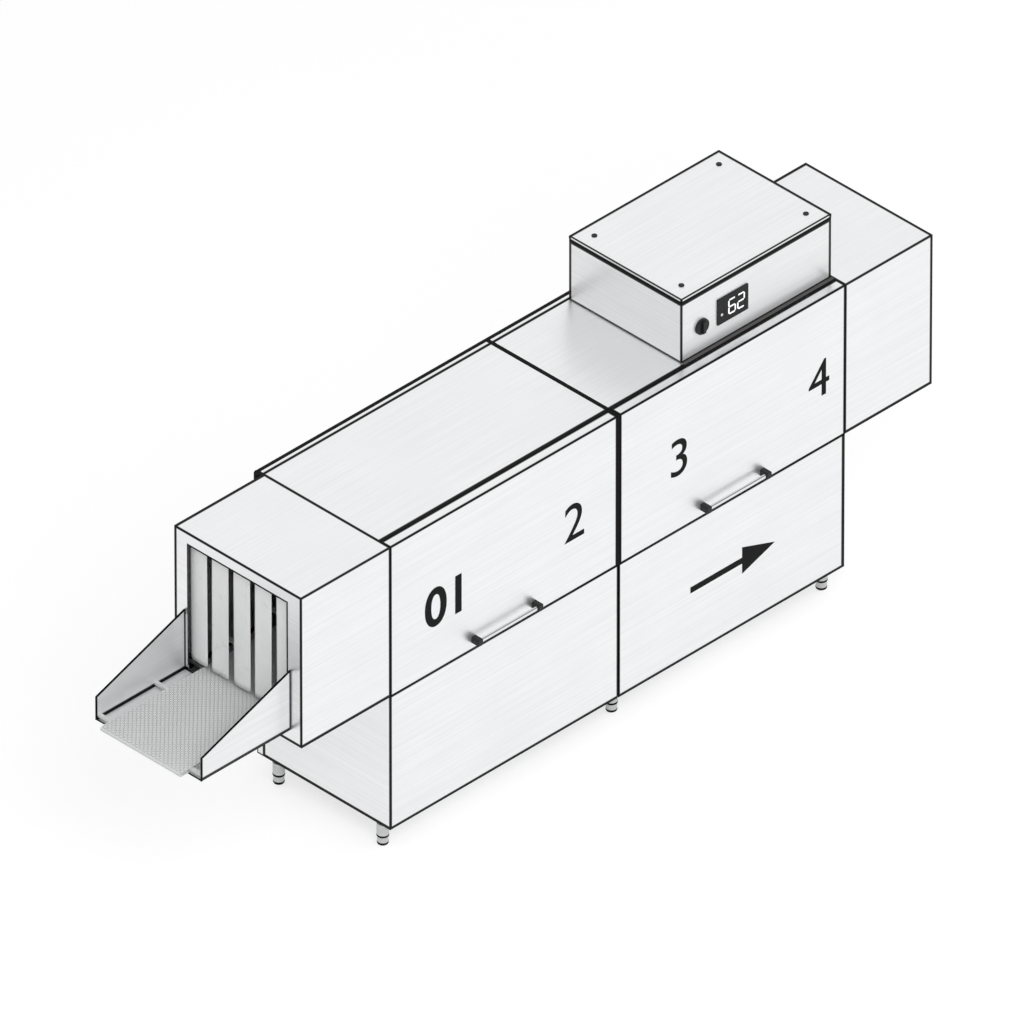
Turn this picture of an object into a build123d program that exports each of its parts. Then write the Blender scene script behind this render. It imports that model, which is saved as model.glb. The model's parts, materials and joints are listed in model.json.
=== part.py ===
from build123d import *

import math
import os

os.makedirs("parts", exist_ok=True)

# Crate washing machine: two wash modules in a row on one belt, with a hood at each end.
# X is the travel direction, the lifting doors face -Y and Z is up from the floor.

# Layout along X
module_length = 1420.0
hood_length = 550.0
deck_reach = 607.0
joint_gap = 16.0
seam = 3.0

# Heights above the floor, one on top of the other
foot_height = 130.0
base_height = 705.0
tunnel_height = 805.0

# Depths along Y
side_room = 145.0
rear_cover_depth = 45.0
panel_depth = 50.0

# Stock
sheet = 2.0
edge_round = 3.0
tube = 40.0
post_depth = 30.0
running_clearance = 0.05
bed_clearance = 0.3

# Openings in the end faces of the hoods
opening_side = 55.0
opening_top_border = 65.0

# Infeed chute
guard_side = 79.5
guard_length = 551.0
guard_low_height = 124.0
guard_high_height = 321.0
guard_sheet = 3.0
guard_flange = 20.0
chute_clearance = 3.0

# Belt and what carries it
deck_rise = 98.0
belt_width = 500.0
belt_thickness = 6.0
nose_radius = 12.0
drum_radius = 39.0
drum_setback = 130.0
drive_shaft_radius = 15.0
drive_bearing_size = 80.0
drive_bearing_depth = 30.0
snub_radius = 15.0
snub_shaft_radius = 8.0
snub_inset = 66.0
snub_bearing_size = 40.0
snub_bearing_depth = 20.0
shaft_end_gap = 3.0
bed_bar_width = 20.0
bed_rail_spacing = 130.0
bed_rail_count = 4
guide_bar_radius = 10.0
guide_bar_gap = 10.0
guide_bar_rise = 60.0
guide_stub_radius = 6.0

# Gearmotor on the drive shaft
gearbox_half = 48.0
gearbox_gap = 20.0
motor_radius = 44.0
motor_height = 210.0

# Strip curtains
strip_count = 5
strip_width = 102.0
strip_thickness = 3.0
infeed_strip_overlap = 30.0
outfeed_strip_margin = 5.0
strip_floor_gap = 17.0
rod_radius = 8.0
rod_inset = 25.0
rod_drop = 40.0
strip_loop_wall = 4.0
strip_loop_clearance = 0.1
collar_gap = 0.5

# Lifting doors
door_thickness = 55.0
door_slot = 15.0
door_gap = 6.0
door_travel = 550.0
door_lug_width = 30.0
door_lug_height = 40.0
rail_stem_width = 8.0
rail_stem_depth = 5.0
rail_head_width = 16.0
rail_head_depth = 4.5
shoe_width = 32.0
shoe_height = 80.0
shoe_clearance = 0.5
shoe_margin = 3.0
handle_length = 405.0
handle_standoff = 45.0
handle_rise = 54.0
handle_post_width = 30.0
handle_post_height = 34.0
handle_bar_height = 20.0
handle_bar_depth = 14.0
handle_round = 6.0

# Gas springs
gas_cylinder_radius = 14.0
gas_bore_radius = 5.5
gas_rod_radius = 5.0
gas_top_gap = 5.0
gas_overlap = 25.0
gas_end_room = 20.0
gas_cylinder_floor = 10.0
gas_lug_height = 20.0
gas_lug_width = 32.0

# Control box on the second module
box_length = 940.0
box_setback = 89.0
box_height = 310.0
box_round = 4.0
seal_height = 16.0
seal_width = 20.0
lid_height = 13.0
lid_overhang = 1.0
screw_radius = 13.5
screw_height = 4.0
screw_inset = 81.0
knob_radius = 39.5
knob_plate = 12.0
knob_grip_width = 18.0
knob_grip_height = 12.0
knob_stem_radius = 5.0
knob_stem_length = 20.0
knob_from_left = 125.0
knob_rise = 138.0
display_width = 192.0
display_height = 137.0
display_thickness = 6.0
display_from_left = 221.0
display_rise = 92.0
key_radius = 7.0
key_proud = 2.5
key_depth = 14.0
key_wall_clearance = 1.0
key_inset = 26.0
key_rise = 49.0

# Feet, and the skin that hangs below the frame over their stems
skirt_drop = 15.0
stem_radius = 19.0
sleeve_radius = 28.0
sleeve_gap = 2.0
sleeve_round = 2.0
cup_radius = 25.5
cup_height = 54.0
cup_round = 7.5
left_foot_inset = 22.0
right_foot_inset = 72.5

# Wash circuit inside each base
shelf_thickness = 4.0
shelf_length = 520.0
pump_height = 110.0
volute_radius = 100.0
volute_width = 70.0
volute_wall = 10.0
pump_motor_radius = 75.0
pump_motor_length = 240.0
pump_foot_width = 120.0
impeller_gap = 8.0
impeller_disc = 8.0
impeller_vane = 22.0
impeller_hub_radius = 22.0
pump_shaft_radius = 8.0
pump_shaft_length = 60.0
suction_radius = 30.0
suction_reach = 70.0
pipe_wall = 3.0
riser_radius = 21.0
riser_wall_gap = 2.0
riser_hole_clearance = 0.3
pump_outlet_rise = 126.0
tank_lift = 20.0
pump_from_middle = 120.0
arm_radius = 13.5
arm_spacing = 400.0
arm_count = 3
arm_front_gap = 20.0
upper_arm_drop = 80.0
lower_arm_drop = 35.0
nozzle_radius = 7.0
nozzle_length = 12.0
nozzle_spacing = 140.0
nozzle_count = 4
tray_length = 900.0
tray_width = 540.0
tray_height = 60.0
tray_drop = 140.0
tray_bar = 10.0
tray_hole_radius = 10.0
tray_hole_pitch = 80.0
heater_flange = 120.0
heater_flange_thickness = 10.0
heater_rod_radius = 6.0
heater_length = 450.0
heater_bend = 25.0
heater_rod_spacing = 36.0
heater_rod_count = 3
heater_rise = 90.0
drain_radius = 24.0
drain_drop = 90.0
drain_bend = 40.0
drain_reach = 180.0
drain_from_middle = 420.0
valve_radius = 36.0
valve_stem_radius = 8.0
valve_stem_length = 62.0
lever_rise = 46.0
lever_hub_radius = 15.0
lever_thickness = 12.0
lever_length = 130.0
lever_width = 18.0

# Positions worked out from the sizes above
hood_width = belt_width + 2 * side_room
opening_width = belt_width + 2 * opening_side
guard_spacing = belt_width + 2 * guard_side
infeed_strip_pitch = (opening_width + 2 * infeed_strip_overlap) / strip_count
outfeed_strip_pitch = (opening_width - 2 * outfeed_strip_margin) / strip_count
total_length = deck_reach + 2 * hood_length + 2 * module_length
x_nose = -total_length / 2
x_infeed = x_nose + deck_reach
x_left = x_infeed + hood_length
x_joint = x_left + module_length
x_right = x_joint + module_length
x_outfeed = x_right + hood_length
y_front = -hood_width / 2
y_back = hood_width / 2
skirt_bottom = foot_height - skirt_drop
waist = foot_height + base_height
roof = waist + tunnel_height
frame_front = y_front + panel_depth
door_back = y_front + door_thickness
door_middle = y_front + door_thickness / 2
post_front = door_back + door_slot
post_inside = post_front + post_depth
rear_inside = y_back - post_depth
hood_inside = hood_width / 2 - sheet
rail_top = roof - sheet
door_bottom = waist + door_gap
deck_top = waist + deck_rise
belt_bottom = deck_top - 2 * nose_radius
chute_floor = belt_bottom - chute_clearance
opening_top = roof - opening_top_border
frame_spans = ((x_left + sheet, x_joint - joint_gap / 2), (x_joint + joint_gap / 2, x_right - sheet))
upper_spans = ((x_left, x_joint - joint_gap / 2), (x_joint + joint_gap / 2, x_right))
panel_spans = ((x_left + sheet, x_joint - seam), (x_joint + seam, x_right - sheet))
gas_xs = [(start + tube / 2, end - tube / 2) for start, end in frame_spans]
rail_xs = [(start + tube / 2, end - tube / 2) for start, end in upper_spans]

LOW = (Align.MIN, Align.MIN, Align.MIN)
BOTTOM = (Align.CENTER, Align.CENTER, Align.MIN)


def slab(low, high, mode=Mode.ADD):
    """Put a box between its low and high corners into the open part."""
    size = Vector(*high) - Vector(*low)
    with Locations(low):
        Box(size.X, size.Y, size.Z, align=LOW, mode=mode)


def bar(radius, start, end, mode=Mode.ADD):
    """Put a round bar between two points into the open part."""
    axis = Vector(*end) - Vector(*start)
    with Locations(Plane(origin=start, z_dir=axis)):
        Cylinder(radius, axis.length, align=BOTTOM, mode=mode)


# Feet: a stem under the frame, a round sleeve on it, and a narrower cup that levels the machine
foot_y = (frame_front + tube / 2, y_back - tube - post_depth)
foot_x = (x_left + left_foot_inset, gas_xs[1][0], x_right - right_foot_inset)
sleeve_top = skirt_bottom - sleeve_gap
with BuildPart() as feet:
    with Locations(*[(x, y, cup_height) for x in foot_x for y in foot_y]):
        Cylinder(sleeve_radius, sleeve_top - cup_height, align=BOTTOM)
    fillet(feet.edges().group_by(Axis.Z)[0], sleeve_round)
    fillet(feet.edges().group_by(Axis.Z)[-1], sleeve_round)
    with Locations(*[(x, y, 0) for x in foot_x for y in foot_y]):
        Cylinder(cup_radius, cup_height, align=BOTTOM)
    fillet(feet.edges().group_by(Axis.Z)[0], cup_round)
    with Locations(*[(x, y, sleeve_top) for x in foot_x for y in foot_y]):
        Cylinder(stem_radius, foot_height - sleeve_top, align=BOTTOM)
feet.part.label = "feet"
export_step(feet.part, "parts/feet.step")

# Base frames: welded square tube, with a pump shelf and the lugs that hold the gas springs
gas_top = waist - gas_top_gap
rod_bottom = gas_top - door_travel - gas_overlap
gas_bottom = rod_bottom - gas_end_room - gas_cylinder_floor
shelf_top = foot_height + tube + shelf_thickness
pump_x = [(start + end) / 2 - pump_from_middle for start, end in frame_spans]
with BuildPart() as base_frames:
    for (start, end), springs, pump_at in zip(frame_spans, gas_xs, pump_x):
        post_x = (start, end - tube)
        rail_y = (frame_front, y_back - tube)
        rail_z = (foot_height, waist - tube)
        with Locations(*[(x, y, foot_height) for x in post_x for y in rail_y]):
            Box(tube, tube, base_height, align=LOW)
        with Locations(*[(start, y, z) for y in rail_y for z in rail_z]):
            Box(end - start, tube, tube, align=LOW)
        with Locations(*[(x, frame_front, z) for x in post_x for z in rail_z]):
            Box(tube, y_back - frame_front, tube, align=LOW)
        with Locations((pump_at - shelf_length / 2, frame_front, foot_height + tube)):
            Box(shelf_length, y_back - frame_front, shelf_thickness, align=LOW)
        lug_depth = frame_front - door_middle + gas_lug_width / 2
        with Locations(*[(x, frame_front, gas_bottom - gas_lug_height) for x in springs]):
            Box(gas_lug_width, lug_depth, gas_lug_height, align=(Align.CENTER, Align.MAX, Align.MIN))
        with Locations(*[(x, frame_front, waist - tube) for x in springs]):
            Box(gas_lug_width, lug_depth, gas_lug_height, align=(Align.CENTER, Align.MAX, Align.MIN))
        with Locations(*[(x, door_middle, waist - tube) for x in springs]):
            Cylinder(gas_cylinder_radius, gas_lug_height, align=BOTTOM, mode=Mode.SUBTRACT)
    slab(
        (x_right - right_foot_inset - tube / 2, frame_front, foot_height),
        (x_right - right_foot_inset + tube / 2, y_back, foot_height + tube),
    )
base_frames.part.label = "base_frames"
export_step(base_frames.part, "parts/base_frames.step")

# Gas spring cylinders, standing on their lugs behind the lower panels
with BuildPart() as gas_cylinders:
    for springs in gas_xs:
        with Locations(*[(x, door_middle, gas_bottom) for x in springs]):
            Cylinder(gas_cylinder_radius, gas_top - gas_bottom, align=BOTTOM)
        with Locations(*[(x, door_middle, gas_bottom + gas_cylinder_floor) for x in springs]):
            Cylinder(gas_bore_radius, gas_top - gas_bottom, align=BOTTOM, mode=Mode.SUBTRACT)
gas_cylinders.part.label = "gas_cylinders"
export_step(gas_cylinders.part, "parts/gas_cylinders.step")

# Lower front panels: folded pans that butt against the base frames, open at the top
for number, (start, end) in enumerate(panel_spans, start=1):
    with BuildPart() as lower_panel:
        slab((start, y_front, skirt_bottom), (end, frame_front, waist - seam))
        fillet(lower_panel.edges().group_by(Axis.Y)[0], edge_round)
        slab(
            (start + sheet, y_front + sheet, skirt_bottom + sheet),
            (end - sheet, frame_front, waist),
            mode=Mode.SUBTRACT,
        )
    lower_panel.part.label = f"lower_panel_{number}"
    export_step(lower_panel.part, f"parts/lower_panel_{number}.step")

# End panels that close the base below the two hoods
with BuildPart() as end_panels:
    for x in (x_left, x_right - sheet):
        slab((x, y_front, skirt_bottom), (x + sheet, y_back, waist))
end_panels.part.label = "end_panels"
export_step(end_panels.part, "parts/end_panels.step")

# Rear covers: one full-height pan on the back of each module
with BuildPart() as rear_covers:
    for start, end in ((x_left, x_joint - seam), (x_joint + seam, x_right)):
        slab((start, y_back, skirt_bottom), (end, y_back + rear_cover_depth, roof))
    fillet(rear_covers.edges().group_by(Axis.Y)[-1], edge_round)
    for start, end in ((x_left, x_joint - seam), (x_joint + seam, x_right)):
        slab(
            (start + sheet, y_back, skirt_bottom + sheet),
            (end - sheet, y_back + rear_cover_depth - sheet, roof - sheet),
            mode=Mode.SUBTRACT,
        )
rear_covers.part.label = "rear_covers"
export_step(rear_covers.part, "parts/rear_covers.step")

# Upper frames: posts and headers that carry the roofs and the door rails
with BuildPart() as upper_frames:
    for start, end in upper_spans:
        post_x = (start, end - tube)
        with Locations(*[(x, y, waist) for x in post_x for y in (post_front, rear_inside)]):
            Box(tube, post_depth, rail_top - waist, align=LOW)
        with Locations(*[(start, y, rail_top - post_depth) for y in (post_front, rear_inside)]):
            Box(end - start, post_depth, post_depth, align=LOW)
        with Locations(*[(x, post_front, rail_top - post_depth) for x in post_x]):
            Box(tube, y_back - post_front, post_depth, align=LOW)
upper_frames.part.label = "upper_frames"
export_step(upper_frames.part, "parts/upper_frames.step")

# Roof panels, which stop short of the doors and leave the slot that these rise through
with BuildPart() as roof_panels:
    for start, end in upper_spans:
        slab((start, post_front, rail_top), (end, y_back, roof))
roof_panels.part.label = "roof_panels"
export_step(roof_panels.part, "parts/roof_panels.step")

# Rubber gasket clamped between the two modules
with BuildPart() as module_gasket:
    low_x = x_joint - joint_gap / 2
    high_x = x_joint + joint_gap / 2
    slab((low_x, y_front + sheet / 2, waist), (high_x, y_back, roof - sheet / 2))
    slab((low_x, post_inside, waist), (high_x, rear_inside, rail_top - post_depth), mode=Mode.SUBTRACT)
    slab((low_x, frame_front, waist - tube), (high_x, y_back, waist))
module_gasket.part.label = "module_gasket"
export_step(module_gasket.part, "parts/module_gasket.step")

# T-section rails on the front posts
with BuildPart() as door_rails:
    with BuildSketch(Plane.XY.offset(waist)):
        with Locations(*[(x, post_front) for pair in rail_xs for x in pair]):
            Rectangle(rail_stem_width, rail_stem_depth, align=(Align.CENTER, Align.MAX))
        with Locations(*[(x, post_front - rail_stem_depth) for pair in rail_xs for x in pair]):
            Rectangle(rail_head_width, rail_head_depth, align=(Align.CENTER, Align.MAX))
    extrude(amount=rail_top - waist)
door_rails.part.label = "door_rails"
export_step(door_rails.part, "parts/door_rails.step")

# Doors with all that rides on them: handle, guide shoes and gas spring rods
door_spans = (
    (x_left + seam, x_joint - joint_gap / 2 - seam),
    (x_joint + joint_gap / 2 + seam, x_right - seam),
)
handle_z = waist + handle_rise
shoe_zs = (door_bottom + shoe_margin, rail_top - door_travel - shoe_margin - shoe_height)
for number, (start, end) in enumerate(door_spans, start=1):
    springs = gas_xs[number - 1]
    rails = rail_xs[number - 1]
    middle = (start + end) / 2

    with BuildPart() as door:
        slab((start, y_front, door_bottom), (end, door_back, roof))
        fillet(door.edges().group_by(Axis.Y)[0], edge_round)
        slab(
            (start + sheet, y_front + sheet, door_bottom),
            (end - sheet, door_back - sheet, roof - sheet),
            mode=Mode.SUBTRACT,
        )
        with Locations(*[(x, door_middle, door_bottom) for x in springs]):
            Box(door_lug_width, door_thickness - 2 * sheet, door_lug_height, align=BOTTOM)
    door.part.label = f"door_{number}"
    export_step(door.part, f"parts/door_{number}.step")

    with BuildPart() as gas_rods:
        with Locations(*[(x, door_middle, rod_bottom) for x in springs]):
            Cylinder(gas_rod_radius, door_bottom - rod_bottom, align=BOTTOM)
    gas_rods.part.label = f"gas_rods_{number}"
    export_step(gas_rods.part, f"parts/gas_rods_{number}.step")

    with BuildPart() as guide_shoes:
        for z in shoe_zs:
            with BuildSketch(Plane.XY.offset(z)):
                with Locations(*[(x, door_back) for x in rails]):
                    Rectangle(shoe_width, door_slot - shoe_clearance, align=(Align.CENTER, Align.MIN))
                with Locations(*[(x, post_front) for x in rails]):
                    Rectangle(
                        rail_stem_width + 2 * shoe_clearance,
                        rail_stem_depth,
                        align=(Align.CENTER, Align.MAX),
                        mode=Mode.SUBTRACT,
                    )
                head_slot = rail_head_depth + 2 * shoe_clearance
                with Locations(*[(x, post_front - rail_stem_depth + shoe_clearance) for x in rails]):
                    Rectangle(
                        rail_head_width + 2 * shoe_clearance,
                        head_slot,
                        align=(Align.CENTER, Align.MAX),
                        mode=Mode.SUBTRACT,
                    )
            extrude(amount=shoe_height)
    guide_shoes.part.label = f"guide_shoes_{number}"
    export_step(guide_shoes.part, f"parts/guide_shoes_{number}.step")

    post_at = (handle_length - handle_post_width) / 2
    with BuildPart() as handle_posts:
        with Locations(*[(middle + side * post_at, y_front, handle_z) for side in (-1, 1)]):
            Box(
                handle_post_width,
                handle_standoff,
                handle_post_height,
                align=(Align.CENTER, Align.MAX, Align.CENTER),
            )
        fillet(handle_posts.edges().filter_by(Axis.Y), handle_round)
        fillet(handle_posts.edges().group_by(Axis.Y)[0], handle_round / 2)
    handle_posts.part.label = f"handle_posts_{number}"
    export_step(handle_posts.part, f"parts/handle_posts_{number}.step")

    with BuildPart() as handle_bar:
        with Locations((middle, y_front - handle_standoff + handle_round, handle_z)):
            Box(
                handle_length - 2 * handle_post_width,
                handle_bar_depth,
                handle_bar_height,
                align=(Align.CENTER, Align.MIN, Align.CENTER),
            )
        fillet(handle_bar.edges().filter_by(Axis.X), handle_round)
    handle_bar.part.label = f"handle_bar_{number}"
    export_step(handle_bar.part, f"parts/handle_bar_{number}.step")

# Infeed hood: a sheet box with an end opening and an opening into the first module
half_opening = opening_width / 2
with BuildPart() as infeed_hood:
    slab((x_infeed, y_front, waist), (x_left, y_back, roof))
    fillet(infeed_hood.edges().group_by(Axis.X)[0], edge_round)
    slab(
        (x_infeed + sheet, y_front + sheet, waist + sheet),
        (x_left - sheet, y_back - sheet, roof - sheet),
        mode=Mode.SUBTRACT,
    )
    slab(
        (x_infeed, -half_opening, chute_floor),
        (x_infeed + sheet, half_opening, opening_top),
        mode=Mode.SUBTRACT,
    )
    slab(
        (x_left - sheet, post_inside, waist + sheet),
        (x_left, rear_inside, rail_top - post_depth),
        mode=Mode.SUBTRACT,
    )
infeed_hood.part.label = "infeed_hood"
export_step(infeed_hood.part, "parts/infeed_hood.step")

# Outfeed hood: the same box the other way round, with a plate that takes over from the belt
drum_x = x_outfeed - drum_setback
belt_turn_radius = drum_radius + bed_clearance + belt_thickness
drum_z = deck_top - belt_turn_radius
lip_start = drum_x + belt_turn_radius + chute_clearance
with BuildPart() as outfeed_hood:
    slab((x_right, y_front, waist), (x_outfeed, y_back, roof))
    fillet(outfeed_hood.edges().group_by(Axis.X)[-1], edge_round)
    slab(
        (x_right + sheet, y_front + sheet, waist + sheet),
        (x_outfeed - sheet, y_back - sheet, roof - sheet),
        mode=Mode.SUBTRACT,
    )
    slab(
        (x_outfeed - sheet, -half_opening, deck_top),
        (x_outfeed, half_opening, opening_top),
        mode=Mode.SUBTRACT,
    )
    slab(
        (x_right, post_inside, waist + sheet),
        (x_right + sheet, rear_inside, rail_top - post_depth),
        mode=Mode.SUBTRACT,
    )
    slab((lip_start, -half_opening, deck_top - sheet), (x_outfeed - sheet, half_opening, deck_top))
outfeed_hood.part.label = "outfeed_hood"
export_step(outfeed_hood.part, "parts/outfeed_hood.step")

# Infeed chute: a pan with two side guards whose top edge falls towards the operator
half_guard = guard_spacing / 2
chute_bottom = chute_floor - sheet
x_chute = x_infeed - guard_length
with BuildPart() as infeed_chute:
    with BuildSketch(Plane.XZ.offset(half_guard)):
        with BuildLine():
            Polyline(
                (x_chute, chute_bottom),
                (x_infeed, chute_bottom),
                (x_infeed, chute_bottom + guard_high_height),
                (x_chute, chute_bottom + guard_low_height),
                close=True,
            )
        make_face()
    extrude(amount=-guard_sheet)
    mirror(about=Plane.XZ)
    slab((x_chute, -half_guard, chute_bottom), (x_infeed, half_guard, chute_floor))
    for low_y in (-half_guard, half_guard - guard_flange):
        slab(
            (x_infeed - guard_sheet, low_y, chute_bottom),
            (x_infeed, low_y + guard_flange, chute_bottom + guard_high_height - guard_flange),
        )
infeed_chute.part.label = "infeed_chute"
export_step(infeed_chute.part, "parts/infeed_chute.step")

# Belt: a closed band round the thin nose, over the snub roller and round the drive drum
snub_x = x_infeed + snub_inset
nose_x = x_nose + nose_radius
nose_z = deck_top - nose_radius
to_drum = Vector(drum_x - snub_x, drum_z - belt_bottom)
fall = math.atan2(to_drum.Y, to_drum.X) - math.asin(belt_turn_radius / to_drum.length)
leave_drum = (drum_x + belt_turn_radius * math.sin(fall), drum_z - belt_turn_radius * math.cos(fall))
with BuildPart() as conveyor_belt:
    with BuildSketch(Plane.XZ.offset(belt_width / 2)):
        with BuildLine():
            Line((nose_x, deck_top), (drum_x, deck_top))
            ThreePointArc((drum_x, deck_top), (drum_x + belt_turn_radius, drum_z), leave_drum)
            Line(leave_drum, (snub_x, belt_bottom))
            Line((snub_x, belt_bottom), (nose_x, belt_bottom))
            ThreePointArc((nose_x, belt_bottom), (x_nose, nose_z), (nose_x, deck_top))
        make_face()
        offset(amount=-belt_thickness, mode=Mode.SUBTRACT)
    extrude(amount=-belt_width)
conveyor_belt.part.label = "conveyor_belt"
export_step(conveyor_belt.part, "parts/conveyor_belt.step")

# Belt bed: wear bars and a nose bar inside the band, on cross bars that reach the side walls
bed_top = deck_top - belt_thickness - bed_clearance
bed_bottom = belt_bottom + belt_thickness + bed_clearance
bed_end = drum_x - drum_radius - bed_bar_width
post_bars = (rail_xs[0][0], rail_xs[0][1], rail_xs[1][0], rail_xs[1][1])
chute_bars = (x_infeed - guard_length + bed_bar_width, x_infeed - guard_length / 3)
hood_bars = (x_infeed + hood_length / 2, x_right + hood_length / 2)
guard_inside = half_guard - guard_sheet
with BuildPart() as belt_bed:
    bar((bed_top - bed_bottom) / 2, (nose_x, -belt_width / 2, nose_z), (nose_x, belt_width / 2, nose_z))
    bed_depth = bed_top - bed_bottom
    with Locations((nose_x, 0, bed_bottom)):
        with GridLocations(0, bed_rail_spacing, 1, bed_rail_count):
            Box(bed_end - nose_x, bed_bar_width, bed_depth, align=(Align.MIN, Align.CENTER, Align.MIN))
    for xs, low_y, high_y in (
        (chute_bars, -guard_inside, guard_inside),
        (hood_bars, -hood_inside, hood_inside),
        (post_bars, post_inside, rear_inside),
    ):
        with Locations(*[(x, low_y, bed_bottom) for x in xs]):
            Box(bed_bar_width, high_y - low_y, bed_depth, align=(Align.CENTER, Align.MIN, Align.MIN))
belt_bed.part.label = "belt_bed"
export_step(belt_bed.part, "parts/belt_bed.step")

# Guide bars that keep crates in line, on stubs from the cross bars
guide_z = deck_top + guide_bar_rise
guide_bar_spacing = belt_width + 2 * (guide_bar_gap + guide_bar_radius)
with BuildPart() as guide_bars:
    for y in (-guide_bar_spacing / 2, guide_bar_spacing / 2):
        bar(guide_bar_radius, (x_left + seam, y, guide_z), (x_right - seam, y, guide_z))
        for x in post_bars:
            bar(guide_stub_radius, (x, y, bed_top), (x, y, guide_z))
guide_bars.part.label = "guide_bars"
export_step(guide_bars.part, "parts/guide_bars.step")

# Drive shaft with its drum, in the outfeed hood
shaft_end = hood_inside - shaft_end_gap
with BuildPart() as drive_shaft:
    bar(drum_radius, (drum_x, -belt_width / 2, drum_z), (drum_x, belt_width / 2, drum_z))
    bar(drive_shaft_radius, (drum_x, -shaft_end, drum_z), (drum_x, shaft_end, drum_z))
drive_shaft.part.label = "drive_shaft"
export_step(drive_shaft.part, "parts/drive_shaft.step")

# Snub roller under the return run, just inside the infeed hood
snub_z = belt_bottom - bed_clearance - snub_radius
with BuildPart() as snub_roller:
    bar(snub_radius, (snub_x, -belt_width / 2, snub_z), (snub_x, belt_width / 2, snub_z))
    bar(snub_shaft_radius, (snub_x, -shaft_end, snub_z), (snub_x, shaft_end, snub_z))
snub_roller.part.label = "snub_roller"
export_step(snub_roller.part, "parts/snub_roller.step")

# Bearing blocks on the inside of the hood walls
with BuildPart() as shaft_bearings:
    for x, z, size, depth in (
        (drum_x, drum_z, drive_bearing_size, drive_bearing_depth),
        (snub_x, snub_z, snub_bearing_size, snub_bearing_depth),
    ):
        for low_y in (-hood_inside, hood_inside - depth):
            slab((x - size / 2, low_y, z - size / 2), (x + size / 2, low_y + depth, z + size / 2))
    for x, z, radius in ((drum_x, drum_z, drive_shaft_radius), (snub_x, snub_z, snub_shaft_radius)):
        bore = radius + running_clearance
        bar(bore, (x, -hood_inside, z), (x, hood_inside, z), mode=Mode.SUBTRACT)
shaft_bearings.part.label = "shaft_bearings"
export_step(shaft_bearings.part, "parts/shaft_bearings.step")

# Gearmotor: a hollow-shaft gearbox flanged to the rear bearing, with an upright motor
gearbox_low = belt_width / 2 + gearbox_gap
gearbox_high = hood_inside - drive_bearing_depth
with BuildPart() as gearmotor:
    slab(
        (drum_x - gearbox_half, gearbox_low, drum_z - gearbox_half),
        (drum_x + gearbox_half, gearbox_high, drum_z + gearbox_half),
    )
    fillet(gearmotor.edges().filter_by(Axis.Y), edge_round)
    motor_y = (gearbox_low + gearbox_high) / 2
    with Locations((drum_x, motor_y, drum_z + gearbox_half)):
        Cylinder(motor_radius, motor_height, align=BOTTOM)
    fillet(gearmotor.edges().group_by(Axis.Z)[-1], edge_round)
    bar(
        drive_shaft_radius + running_clearance,
        (drum_x, gearbox_low, drum_z),
        (drum_x, gearbox_high, drum_z),
        mode=Mode.SUBTRACT,
    )
gearmotor.part.label = "gearmotor"
export_step(gearmotor.part, "parts/gearmotor.step")

# Curtain rods across the hoods, with collars that keep the strips apart
infeed_rod = (x_infeed + sheet + rod_inset, roof - rod_drop)
loop_radius = rod_radius + strip_loop_clearance + strip_loop_wall
outfeed_rod = (x_outfeed - sheet - rod_inset, opening_top - loop_radius - strip_loop_wall)
curtains = (("infeed", infeed_rod, infeed_strip_pitch), ("outfeed", outfeed_rod, outfeed_strip_pitch))
with BuildPart() as curtain_rods:
    for _, (x, z), pitch in curtains:
        bar(rod_radius, (x, -hood_inside, z), (x, hood_inside, z))
        collar = pitch - strip_width - 2 * collar_gap
        for index in range(strip_count + 1):
            y = (index - strip_count / 2) * pitch
            bar(loop_radius, (x, y - collar / 2, z), (x, y + collar / 2, z))
curtain_rods.part.label = "curtain_rods"
export_step(curtain_rods.part, "parts/curtain_rods.step")

# Curtain strips: each hangs by a welded loop and swings by itself
strip_bottom = deck_top + strip_floor_gap
for end_name, (x, z), pitch in curtains:
    for index in range(strip_count):
        low_y = (index - (strip_count - 1) / 2) * pitch - strip_width / 2
        high_y = low_y + strip_width
        with BuildPart() as strip:
            bar(loop_radius, (x, low_y, z), (x, high_y, z))
            slab((x - strip_thickness / 2, low_y, strip_bottom), (x + strip_thickness / 2, high_y, z))
            fillet(strip.edges().filter_by(Axis.X).group_by(Axis.Z)[0], strip_loop_wall)
            bar(rod_radius + strip_loop_clearance, (x, low_y, z), (x, high_y, z), mode=Mode.SUBTRACT)
        strip.part.label = f"{end_name}_strip_{index + 1}"
        export_step(strip.part, f"parts/{end_name}_strip_{index + 1}.step")

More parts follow.
